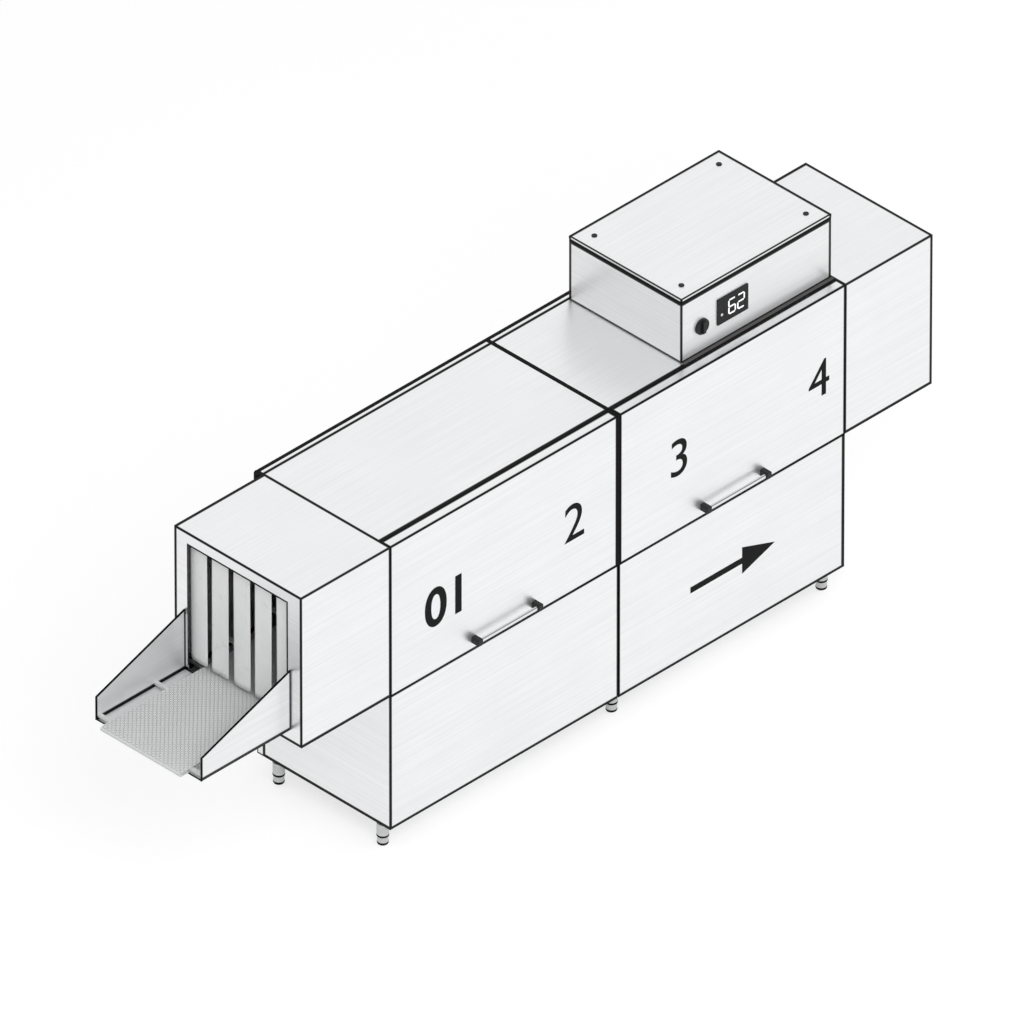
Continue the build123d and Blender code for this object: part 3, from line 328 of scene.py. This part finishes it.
bead_width, bead_height = 0.006, 0.0009
lip_width, lip_height = 0.012, 0.0012
infeed_low, infeed_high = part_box("infeed_hood")
outfeed_low, outfeed_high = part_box("outfeed_hood")
roof_low, roof_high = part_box("roof_panels")
gasket_low, gasket_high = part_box("module_gasket")
roof_z = roof_high.z
lip_y, rear_y = roof_low.y - lip_width / 2, roof_high.y
X, Y, Z = np.eye(3)
for number, start, end in ((1, infeed_high.x, gasket_low.x), (2, gasket_high.x, outfeed_low.x)):
    for name, width, height, y in (("roof_lip", lip_width, lip_height, lip_y),
                                   ("rear_bead", bead_width, bead_height, rear_y)):
        bead(f"{name}_{number}", width, height, [(start, y, roof_z), (end, y, roof_z)], Y, Z)

# Rear edge trim: a wider rubber profile along the top rear edge of the rear covers. A thick domed
# piece at each end closes the cover's upper corner.
trim_width, cover_round = 0.020, 0.003
end_depth, end_drop = 0.028, 0.036
cover_low, cover_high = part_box("rear_covers")
trim_y = cover_high.y - cover_round - trim_width / 2
trim_path = [(cover_low.x, trim_y, cover_high.z), (cover_high.x, trim_y, cover_high.z)]
bead("rear_edge_trim", trim_width, bead_height, trim_path, Y, Z)
end_width = cover_high.y - infeed_high.y
end_y = (cover_high.y + infeed_high.y) / 2
for name, at, outward in (("left", cover_low.x, -X), ("right", cover_high.x, X)):
    end_path = [(at, end_y, cover_high.z - end_drop), (at, end_y, cover_high.z)]
    bead(f"rear_trim_end_{name}", end_width, end_depth, end_path, np.cross(outward, Z), outward)

# Roof joint cap: a domed rubber strip over the joint between the two modules' roofs, from the front
# edge to the back of the rear covers.
cap_width = 0.024
joint_x = (gasket_low.x + gasket_high.x) / 2
cap_path = [(joint_x, roof_low.y, roof_z), (joint_x, cover_high.y - cover_round, roof_z)]
bead("roof_joint_cap", cap_width, lip_height, cap_path, -X, Z)

# Guard edging: a rubber profile pushed over the cut edges of the chute's two side guards, up the
# nose and along the sloping top.
guard_low, guard_sheet = 0.124, 0.003
edging_half, edging_grip, edging_top = 0.0035, 0.006, 0.002
chute_low, chute_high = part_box("infeed_chute")
edging = np.concatenate([[(-edging_half, -edging_grip), (edging_half, -edging_grip)],
                         domed(2 * edging_half, edging_top, steps=6)])
for side, guard_y in (("front", chute_low.y + guard_sheet / 2), ("rear", chute_high.y - guard_sheet / 2)):
    foot = np.array([chute_low.x, guard_y, chute_low.z])
    knee = foot + guard_low * Z
    top = np.array([chute_high.x - guard_sheet, guard_y, chute_high.z])
    slope = (top - knee) / np.linalg.norm(top - knee)
    for name, path, rise in (("edge", [knee, top], np.cross(slope, Y)), ("nose", [foot, knee], -X)):
        points, faces = carried(edging, path, Y, rise)
        shape(f"guard_{name}_{side}", points, faces, rubber, "machine")

# Infeed mouth trim: a thin rubber profile round the opening in the infeed hood's end wall, mitred at
# its two upper corners and open along the belt.
mouth_half, mouth_drop, mouth_trim = 0.305, 0.065, 0.009
mouth_y, mouth_z = mouth_half + mouth_trim / 2, roof_z - mouth_drop + mouth_trim / 2
deck_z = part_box("conveyor_belt")[1].z
mouth_corners = ((mouth_y, deck_z), (mouth_y, mouth_z), (-mouth_y, mouth_z), (-mouth_y, deck_z))
mouth_path = [(infeed_low.x, y, z) for y, z in mouth_corners]
mitres = np.array([Y, Y + Z, Z - Y, -Y])[:, None]
bead("infeed_mouth_trim", mouth_trim, lip_height, mouth_path, mitres, -X)

# Control box foot seal: a flat rubber bead on the roof, along the front of the control box. Washing
# has aged it to grey.
grey_rubber = moulded("aged rubber", (0.10, 0.098, 0.096, 1.0), (0.16, 0.157, 0.153, 1.0),
                      rough=0.62, pebble=900.0, depth=0.0003, shine=0.08)
box_low, box_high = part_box("control_box")
foot_width = box_low.y - roof_low.y
foot_y = roof_low.y + foot_width / 2
foot_path = [(box_low.x, foot_y, roof_z), (box_high.x, foot_y, roof_z)]
bead("box_foot_seal", foot_width, bead_height, foot_path, Y, Z, grey_rubber)

# Hood seam beads: narrow rubber beads across the roof, pressed into the seam between each hood and
# its module.
for name, at in (("infeed", infeed_high.x), ("outfeed", outfeed_low.x)):
    seam_path = [(at, roof_low.y, roof_z), (at, roof_high.y, roof_z)]
    bead(f"{name}_seam_bead", bead_width / 2, bead_height, seam_path, -X, Z)

# Foot rings: each foot has a rubber ring that keeps water out between sleeve and cup, and a rubber
# sole round its cup's rim that stops it sliding on a wet floor.


def rings(centres, radius, thick, tall, steps=36, sides=16):
    """Rubber rings: the ellipse u = thick cos b, v = tall sin b carried round each centre on a radius,
    so a point is (radius + u) cos a, (radius + u) sin a, v. Both grids close on themselves."""
    a = np.arange(steps) * 2 * math.pi / steps
    b = np.arange(sides) * 2 * math.pi / sides
    reach = radius + thick * np.cos(b)
    rise = np.broadcast_to(tall * np.sin(b), (steps, sides))
    rows = np.stack([np.outer(np.cos(a), reach), np.outer(np.sin(a), reach), rise], -1)
    points = np.asarray(centres)[:, None, None] + rows
    i, j = np.meshgrid(np.arange(steps), np.arange(sides), indexing="ij")
    after, above = (i + 1) % steps, (j + 1) % sides
    cell = np.stack([i * sides + j, after * sides + j, after * sides + above, i * sides + above], -1)
    offsets = np.arange(len(points))[:, None, None] * steps * sides
    return points, (cell.reshape(1, -1, 4) + offsets).reshape(-1, 4)


feet_low, feet_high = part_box("feet")
sleeve_radius, middle_foot = 0.028, 0.020
foot_xs = (feet_low.x + sleeve_radius, gasket_high.x + middle_foot, feet_high.x - sleeve_radius)
foot_ys = (feet_low.y + sleeve_radius, feet_high.y - sleeve_radius)
seal_radius, seal_thick, seal_tall, seal_z = 0.0243, 0.0045, 0.0060, 0.0490
sole_radius, sole_thick, sole_tall = 0.0187, 0.0079, 0.0110
for name, radius, thick, tall, at in (("foot_seals", seal_radius, seal_thick, seal_tall, seal_z),
                                      ("foot_soles", sole_radius, sole_thick, sole_tall, sole_tall)):
    points, faces = rings([(x, y, at) for x in foot_xs for y in foot_ys], radius, thick, tall)
    foot_ring = shape(name, points, faces, rubber, "machine")
    foot_ring.data.shade_smooth()

# Handle posts, guide shoes, shaft bearings, lid screws and the main switch: black glass-filled nylon
# mouldings with a fine spark-eroded texture.
black_plastic = moulded("black nylon", (0.010, 0.010, 0.011, 1.0), (0.045, 0.045, 0.046, 1.0),
                        rough=0.42, pebble=1200.0, depth=0.0002, shine=0.25)
dress(made_of("black_plastic"), black_plastic)

# Gas springs: drawn steel cylinders that stand on the frames' lugs behind the lower panels. Their
# black powder coat has a slight orange peel and rubs through on the rims.
black_paint = moulded("powder coat black", (0.02, 0.02, 0.022, 1.0), (0.16, 0.16, 0.16, 1.0),
                      rough=0.4, pebble=500.0, depth=0.0003)
dress(made_of("black_paint"), black_paint)

# Pumps and gearmotor: cast housings, the pumps on shelves in the base and the gearmotor on the drive
# shaft. Their thick grey enamel is chipped to a lighter primer on the edges.
grey_paint = moulded("grey enamel", (0.17, 0.19, 0.20, 1.0), (0.36, 0.37, 0.37, 1.0),
                     rough=0.45, pebble=260.0, depth=0.0006)
dress(made_of("grey_paint"), grey_paint)

# Drain levers: flat steel bars on the stems of the drain valves, dipped in soft red plastic. The dip
# is thin and paler on the edges.
red_plastic = moulded("red grip", (0.42, 0.02, 0.018, 1.0), (0.5, 0.12, 0.1, 1.0),
                      rough=0.4, pebble=700.0, depth=0.0003)
dress(made_of("red_plastic"), red_plastic)

# Belt bed: slide bars milled from white polyethylene, which carry the belt from below. The belt
# leaves faint dark rub marks on them.
bed_plastic = moulded("slide bar", (0.74, 0.75, 0.74, 1.0), (0.58, 0.59, 0.58, 1.0),
                      rough=0.5, pebble=400.0, depth=0.0003)
dress(made_of("bed_plastic"), bed_plastic)

# Belt: a modular grid of moulded acetal links. Rows of fingers mesh by half a link and hinge on
# rods, so water falls through and the band turns round the thin nose.
belt_plastic = moulded("acetal link", (0.78, 0.79, 0.79, 1.0), (0.62, 0.64, 0.64, 1.0),
                       rough=0.38, pebble=600.0, depth=0.0002)
dress(made_of("belt_plastic"), belt_plastic)
belt_low, belt_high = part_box("conveyor_belt")
drum_low, drum_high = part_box("drive_shaft")
snub_low, snub_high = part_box("snub_roller")
band, nose_radius = 0.006, 0.012
drum_x, drum_z = (drum_low.x + drum_high.x) / 2, (drum_low.z + drum_high.z) / 2
snub_x = (snub_low.x + snub_high.x) / 2
turn_radius = belt_high.x - drum_x
nose_x, nose_z = belt_low.x + nose_radius, deck_z - nose_radius
return_z = deck_z - 2 * nose_radius
snub_to_drum = math.hypot(drum_x - snub_x, drum_z - return_z)
fall = math.atan2(drum_z - return_z, drum_x - snub_x) - math.asin(turn_radius / snub_to_drum)


def around(x, z, radius, start, end, steps):
    """Points of the arc x + radius cos a, z + radius sin a."""
    a = np.linspace(start, end, steps)
    return np.stack([x + radius * np.cos(a), z + radius * np.sin(a)], -1)


quarter = math.pi / 2
middle_line = np.concatenate([
    around(drum_x, drum_z, turn_radius - band / 2, quarter, fall - quarter, steps=60),
    [(snub_x, return_z + band / 2)],
    around(nose_x, nose_z, nose_radius - band / 2, -quarter, -3 * quarter, steps=40),
    [(drum_x, deck_z - band / 2)],
])
distances = np.concatenate([[0.0], np.cumsum(np.hypot(*np.diff(middle_line, axis=0).T))])
band_length = distances[-1]
link_pitch, links = 0.0127, 20
# A finger's half length, width and height, and a hinge bar's half thickness
finger_half = (0.0078, 0.0045, 0.0027)
hinge_half = 0.0021
belt_width = belt_high.y - belt_low.y
lane = belt_width / links
rows = 2 * round(band_length / link_pitch / 2)


def on_band(distance):
    """The point of the band's middle line at a distance along it, which wraps round."""
    distance = distance % band_length
    return np.stack([np.interp(distance, distances, middle_line[:, i]) for i in (0, 1)], -1)


def blocks(centre, along, across, out, half):
    """Six-sided blocks: corner = centre + sum of sign * half size * axis, faces outwards."""
    square = ((-1, -1), (1, -1), (1, 1), (-1, 1))
    sign = np.array([(*flat, high) for high in (-1, 1) for flat in square])
    axes = np.stack([along, across, out], 1) * np.asarray(half)[None, :, None]
    corners = centre[:, None] + np.einsum("kc,ncx->nkx", sign, axes)
    quads = np.array([(0, 3, 2, 1), (4, 5, 6, 7), (0, 1, 5, 4), (1, 2, 6, 5), (2, 3, 7, 6), (3, 0, 4, 7)])
    faces = (quads[None] + 8 * np.arange(len(centre))[:, None, None]).reshape(-1, 4)
    return corners.reshape(-1, 3), faces


station = np.arange(rows) * band_length / rows
ahead, behind = on_band(station + finger_half[0]), on_band(station - finger_half[0])
heading = (ahead - behind) / np.linalg.norm(ahead - behind, axis=1, keepdims=True)
seat = (ahead + behind) / 2
along = np.stack([heading[:, 0], np.zeros(rows), heading[:, 1]], -1)
across = np.tile(Y, (rows, 1))
out = np.cross(along, across)
shift = np.where(np.arange(rows) % 2, lane / 4, -lane / 4)
lanes = (np.arange(links) - (links - 1) / 2) * lane
finger_x, finger_z = (np.repeat(seat[:, i], links) for i in (0, 1))
finger_centre = np.stack([finger_x, (shift[:, None] + lanes).ravel(), finger_z], -1)
finger_axes = (np.repeat(axis, links, 0) for axis in (along, across, out))
finger_points, finger_faces = blocks(finger_centre, *finger_axes, finger_half)
hinge_centre = np.stack([seat[:, 0], np.zeros(rows), seat[:, 1]], -1)
hinge_points, hinge_faces = blocks(hinge_centre, along, across, out, (hinge_half, belt_width / 2, hinge_half))
points = np.concatenate([finger_points, hinge_points])
faces = np.concatenate([finger_faces, hinge_faces + len(finger_points)])
belt = shape("belt_links", points, faces, belt_plastic, "machine")
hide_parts("conveyor_belt")

# Strip curtains: milky PVC strips cut from a roll, so each keeps a slight curl. The top is folded
# round the rod and welded to the back of the strip.
strip_pvc, tree, sockets = new_finish("milky strip", Specular_IOR_Level=0.4, Subsurface_Weight=0.25,
                                      Subsurface_Radius=(1.0, 1.0, 1.0), Subsurface_Scale=0.004)
strip_dull, strip_clear = (0.91, 0.92, 0.92, 1.0), (0.96, 0.965, 0.965, 1.0)
strip_smooth, strip_rough = 0.26, 0.4
haze = place_group(tree, wipe_marks, Size=14.0)
hazed = spread(tree, haze, wiped_low, wiped_high, 0.0, 1.0)
tree.links.new(tint(tree, hazed, strip_dull, strip_clear), sockets["Base Color"])
tree.links.new(spread(tree, haze, wiped_low, wiped_high, strip_smooth, strip_rough), sockets["Roughness"])
dress(made_of("strip_pvc"), strip_pvc)
strip_thick, strip_round = 0.003, 0.012
strip_curl, back_curl, row_crowding = 0.004, -0.8, 0.9
loop_radius, loop_top, loop_end = 0.0100, 0.0121, -0.2
joint_drop, weld_reach, weld_gap = 0.026, 0.006, 1.05
columns, blade_rows, lead_rows, loop_rows, tail_rows = 17, 34, 9, 22, 7


def hung_strip(low, high, curl):
    """Middle surface of one strip. Along: up the blade, round the rod on the loop's radius, back to the
    blade. Across: x moves by curl * (v^2 - 1/3), fading to none at the rod; lower corners are rounded."""
    rod_x, rod_z = (low.x + high.x) / 2, high.z - loop_top
    joint_z = rod_z - joint_drop
    v = np.linspace(-1.0, 1.0, columns)
    half = (high.y - low.y) / 2
    y = (low.y + high.y) / 2 + half * v
    inset = np.clip((np.abs(v) * half - (half - strip_round)) / strip_round, 0.0, 1.0)
    foot = low.z + strip_round * (1 - np.sqrt(1 - inset * inset))
    z = foot + (joint_z - foot) * np.linspace(0.0, 1.0, blade_rows)[:, None] ** row_crowding
    fade = 1 - (z - low.z) / (joint_z - low.z)
    x = rod_x + curl * (v * v - 1 / 3) * fade
    blade = np.stack([x, np.broadcast_to(y, z.shape), z], -1)
    ease = np.linspace(0.0, 1.0, lead_rows)[1:]
    swing = ease * ease * (3 - 2 * ease)
    lead = np.stack([rod_x - loop_radius * swing, joint_z + (rod_z - joint_z) * ease], -1)
    loop = around(rod_x, rod_z, loop_radius, math.pi, loop_end, loop_rows)[1:]
    weld = np.array([rod_x + strip_thick * weld_gap, joint_z - weld_reach])
    tail = loop[-1] + (weld - loop[-1]) * np.linspace(0.0, 1.0, tail_rows)[1:, None]
    upper_x, upper_z = np.concatenate([lead, loop, tail]).T[:, :, None]
    upper = np.stack(np.broadcast_arrays(upper_x, y, upper_z), -1)
    return np.concatenate([blade, upper])


def thick_grid(middle, thickness):
    """A closed sheet: the grid of points moved half the thickness along its normal to each side,
    where the normal is the cross product of the grid's two directions, with a rim round it."""
    rise, side = np.gradient(middle, axis=0), np.gradient(middle, axis=1)
    normal = np.cross(side, rise)
    normal /= np.linalg.norm(normal, axis=-1, keepdims=True)
    n, m = middle.shape[:2]
    front, back = middle + normal * thickness / 2, middle - normal * thickness / 2
    i, j = np.meshgrid(np.arange(n - 1), np.arange(m - 1), indexing="ij")
    cell = np.stack([i * m + j, i * m + j + 1, (i + 1) * m + j + 1, (i + 1) * m + j], -1).reshape(-1, 4)
    ids = np.arange(n * m).reshape(n, m)
    ring = np.concatenate([ids[0], ids[1:, -1], ids[-1, -2::-1], ids[-2:0:-1, 0]])
    after = np.roll(ring, -1)
    rim = np.stack([after, ring, ring + n * m, after + n * m], -1)
    return np.stack([front, back]).reshape(-1, 3), [*cell, *(cell[:, ::-1] + n * m), *rim]


for end in ("infeed", "outfeed"):
    for number in range(1, 6):
        node = f"{end}_strip_{number}"
        low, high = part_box(node)
        middle = hung_strip(low, high, strip_curl if number % 2 else back_curl * strip_curl)
        points, faces = thick_grid(middle, strip_thick)
        strip = shape(f"{end}_curtain_{number}", points, faces, strip_pvc, f"{node}_body")
        strip.data.shade_smooth()
        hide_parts(node)

# Display: a plate of smoked acrylic glued to the front of the control box. Generic lit figures on it
# show the wash temperature. The start key beside them is a white moulded cap.
display_black, tree, sockets = new_finish("smoked acrylic", Specular_IOR_Level=0.1, Coat_Weight=0.08,
                                          Coat_Roughness=0.05)
acrylic_clean, acrylic_dusty = (0.008, 0.008, 0.009, 1.0), (0.03, 0.03, 0.032, 1.0)
dust_share, acrylic_smooth, acrylic_rough = 0.5, 0.12, 0.28
dust = place_group(tree, wipe_marks, Size=40.0)
dusty = spread(tree, dust, wiped_low, stain_high, 0.0, dust_share)
tree.links.new(tint(tree, dusty, acrylic_clean, acrylic_dusty), sockets["Base Color"])
gloss = spread(tree, dust, wiped_low, wiped_high, acrylic_smooth, acrylic_rough)
tree.links.new(gloss, sockets["Roughness"])
dress(made_of("display_black"), display_black)
key_white = moulded("white key", (0.80, 0.80, 0.78, 1.0), (0.6, 0.6, 0.58, 1.0),
                    rough=0.35, pebble=800.0, depth=0.0001)
dress(made_of("key_white"), key_white)


def raised(outlines, face_y, height):
    """Flat signs: each outline of (x, z) points, anticlockwise from the front, stands height off a face."""
    points, faces = [], []
    for outline in outlines:
        x, z = np.asarray(outline, float).T
        count, base = len(x), sum(len(p) for p in points)
        y = np.full(count, face_y)
        points += [np.stack([x, y - height, z], -1), np.stack([x, y, z], -1)]
        j = np.arange(count)
        k = (j + 1) % count
        faces += [base + j, base + count + j[::-1]]
        faces += list(np.stack([base + j, base + count + j, base + count + k, base + k], -1))
    return np.concatenate(points), faces


display_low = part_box("display_panel")[0]
figure_left, figure_foot, figure_pitch = 0.070, 0.031, 0.056
figure_size = np.array([0.040, 0.074])
figure_thick, stroke, stroke_gap = 0.0006, 0.0075, 0.0012
segments = {"a": (0, 1, 1, 1), "b": (1, 1, 1, 0.5), "c": (1, 0.5, 1, 0), "d": (0, 0, 1, 0),
            "e": (0, 0, 0, 0.5), "f": (0, 0.5, 0, 1), "g": (0, 0.5, 1, 0.5)}
figures = []
for place, lit_segments in enumerate(("acdefg", "abdeg")):
    origin = np.array([display_low.x + figure_left + place * figure_pitch, display_low.z + figure_foot])
    for name in lit_segments:
        first, last = origin + np.reshape(segments[name], (2, 2)) * figure_size
        run = (last - first) / np.linalg.norm(last - first)
        side = np.array([-run[1], run[0]]) * stroke / 2
        cut = run * stroke / 2
        first, last = first + run * stroke_gap, last - run * stroke_gap
        figures.append([first, first + cut - side, last - cut - side,
                        last, last - cut + side, first + cut + side])
lit, tree, sockets = new_finish("lit figure", Roughness=0.4, Emission_Strength=0.6)
lit_dim, lit_bright = (0.80, 0.82, 0.82, 1.0), (0.95, 0.96, 0.96, 1.0)
glow = tint(tree, place_group(tree, wipe_marks, Size=120.0), lit_dim, lit_bright)
tree.links.new(glow, sockets["Base Color"])
tree.links.new(glow, sockets["Emission Color"])
points, faces = raised(figures, display_low.y, figure_thick)
shape("display_figures", points, faces, lit, "machine")

# Zone numbers and travel arrow: cut from black vinyl film and stuck to the doors and to the second
# lower panel. Their places count from the module's left edge, in units of the drawing.
vinyl = moulded("black vinyl", (0.004, 0.004, 0.004, 1.0), (0.016, 0.016, 0.015, 1.0),
                rough=0.5, pebble=300.0, depth=0.0002, shine=0.08)
unit = 0.0054
sign_thick, sign_size = 0.0006, 0.28
waist = infeed_low.z
# Number, door, module's left edge, text, units along the door and above the waist, stroke swelling
zone_marks = (
    (1, "door_1", infeed_high.x, "01", 61.0, 64.0, 0.006),
    (2, "door_1", infeed_high.x, "2", 212.0, 69.5, 0.0),
    (3, "door_2", joint_x, "3", 70.0, 73.0, 0.0),
    (4, "door_2", joint_x, "4", 232.5, 69.7, 0.0),
)
for number, door, module_left, text, along_door, above_waist, swell in zone_marks:
    curve = bpy.data.curves.new(f"zone_{number}", "FONT")
    curve.body, curve.size, curve.offset, curve.extrude = text, sign_size, swell, sign_thick / 2
    curve.align_x, curve.align_y = "CENTER", "CENTER"
    written = bpy.data.objects.new(f"zone_{number}", curve)
    bpy.context.scene.collection.objects.link(written)
    bpy.context.view_layer.update()
    mesh = bpy.data.meshes.new_from_object(written)
    bpy.data.objects.remove(written)
    flat = np.empty(len(mesh.vertices) * 3)
    mesh.vertices.foreach_get("co", flat)
    flat = flat.reshape(-1, 3)
    middle = (flat.min(0) + flat.max(0)) / 2
    put = np.stack([module_left + along_door * unit + flat[:, 0] - middle[0],
                    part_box(door)[0].y - sign_thick / 2 - flat[:, 2],
                    waist + above_waist * unit + flat[:, 1] - middle[1]], -1)
    faces = [list(polygon.vertices) for polygon in mesh.polygons]
    shape(f"zone_mark_{number}", put, faces, vinyl, f"lift_{door}")
    bpy.data.meshes.remove(mesh)
panel_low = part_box("lower_panel_2")[0]
tail_x, tip_x, arrow_z = joint_x + 83.6 * unit, joint_x + 181.7 * unit, panel_low.z + 65.8 * unit
head, half_head, half_shaft = 38.0 * unit, 26.5 * unit / 2, 3.0 * unit
neck_x = tip_x - head
arrow = [(tail_x, arrow_z - half_shaft), (neck_x, arrow_z - half_shaft), (neck_x, arrow_z - half_head),
         (tip_x, arrow_z), (neck_x, arrow_z + half_head), (neck_x, arrow_z + half_shaft),
         (tail_x, arrow_z + half_shaft)]
points, faces = raised([arrow], panel_low.y, sign_thick)
shape("travel_arrow", points, faces, vinyl, "machine")

# Studio: a plain pale floor that keeps the shadow, a white surround, one large soft key from the
# front left, a weaker fill, and a camera in the drawing's isometric direction.
floor_half = 40.0
floor_corners = floor_half * np.array([(-1, -1, 0), (1, -1, 0), (1, 1, 0), (-1, 1, 0)])
floor_mesh = bpy.data.meshes.new("floor")
floor_mesh.from_pydata(floor_corners.tolist(), [], [(0, 1, 2, 3)])
floor = bpy.data.objects.new("floor", floor_mesh)
bpy.context.scene.collection.objects.link(floor)


def seen(tree):
    """1 where a camera, mirror or glass ray looks, 0 for the light that falls on the object."""
    path = add(tree, "ShaderNodeLightPath").outputs
    mirrored = worked(tree, "MAXIMUM", path["Is Camera Ray"], path["Is Glossy Ray"])
    return worked(tree, "MAXIMUM", mirrored, path["Is Transmission Ray"])


floor_grey, floor_bounce, pure_white = (0.42, 0.42, 0.42, 1.0), (0.8, 0.8, 0.8, 1.0), (1.0, 1.0, 1.0, 1.0)
floor_lift, room_light = 0.68, 0.62
pale = bpy.data.materials.new("pale floor")
pale.use_nodes = True
tree = pale.node_tree
tree.nodes.clear()
shadowed = add(tree, "ShaderNodeBsdfDiffuse", {"Color": floor_grey}).outputs[0]
lifted = add(tree, "ShaderNodeEmission", {"Color": pure_white, "Strength": floor_lift}).outputs[0]
bright = add(tree, "ShaderNodeAddShader", {0: shadowed, 1: lifted}).outputs[0]
bouncing = add(tree, "ShaderNodeBsdfDiffuse", {"Color": floor_bounce}).outputs[0]
mixed = add(tree, "ShaderNodeMixShader", {0: seen(tree), 1: bouncing, 2: bright}).outputs[0]
add(tree, "ShaderNodeOutputMaterial", {"Surface": mixed})
floor_mesh.materials.append(pale)

world = bpy.data.worlds.new("surround")
bpy.context.scene.world = world
world.use_nodes = True
tree = world.node_tree
tree.nodes.clear()
strength = spread(tree, seen(tree), 0.0, 1.0, room_light, 1.0)
sky = add(tree, "ShaderNodeBackground", {"Color": pure_white, "Strength": strength})
add(tree, "ShaderNodeOutputWorld", {"Surface": sky.outputs[0]})


def soft_lamp(name, at, aim, size, power):
    """A square area lamp of a given size that looks at a point; the steel doesn't mirror it."""
    lamp = bpy.data.lights.new(name, "AREA")
    lamp.size, lamp.energy = size, power
    made = bpy.data.objects.new(name, lamp)
    bpy.context.scene.collection.objects.link(made)
    made.visible_glossy = False
    made.location = at
    toward = made.location - Vector(aim)
    made.rotation_euler = toward.to_track_quat("Z", "Y").to_euler()


belt_level = (0.0, 0.0, 0.9)
soft_lamp("key", at=(-5.0, -7.0, 8.5), aim=belt_level, size=6.0, power=420.0)
soft_lamp("fill", at=(8.0, -4.0, 6.0), aim=belt_level, size=6.0, power=150.0)

bpy.context.scene.view_settings.view_transform = "Standard"
lens = bpy.data.cameras.new("camera")
lens.lens, lens.sensor_width = 1600.0, 36.0
camera = bpy.data.objects.new("camera", lens)
bpy.context.scene.collection.objects.link(camera)
right = np.array([1.0, -1.0, 0.0]) / math.sqrt(2)
up = np.array([1.0, 1.0, 2.0]) / math.sqrt(6)
back = np.array([-1.0, -1.0, 1.0]) / math.sqrt(3)
picture_width, aim_right, aim_up = 1024, 209.5, 235.4
pixels_per_metre = math.sqrt(1.5) / unit
aim = np.array(infeed_low) + (aim_right * right + aim_up * up) / pixels_per_metre
middle_depth = (outfeed_high.x - infeed_low.x) / 2 * back[0]
away = picture_width / pixels_per_metre / (lens.sensor_width / lens.lens)
camera.location = aim + back * (away + middle_depth)
camera.rotation_euler = Vector(back).to_track_quat("Z", "Y").to_euler()
room_before, room_behind = 60.0, 200.0
lens.clip_start, lens.clip_end = away - room_before, away + room_behind
bpy.context.scene.camera = camera
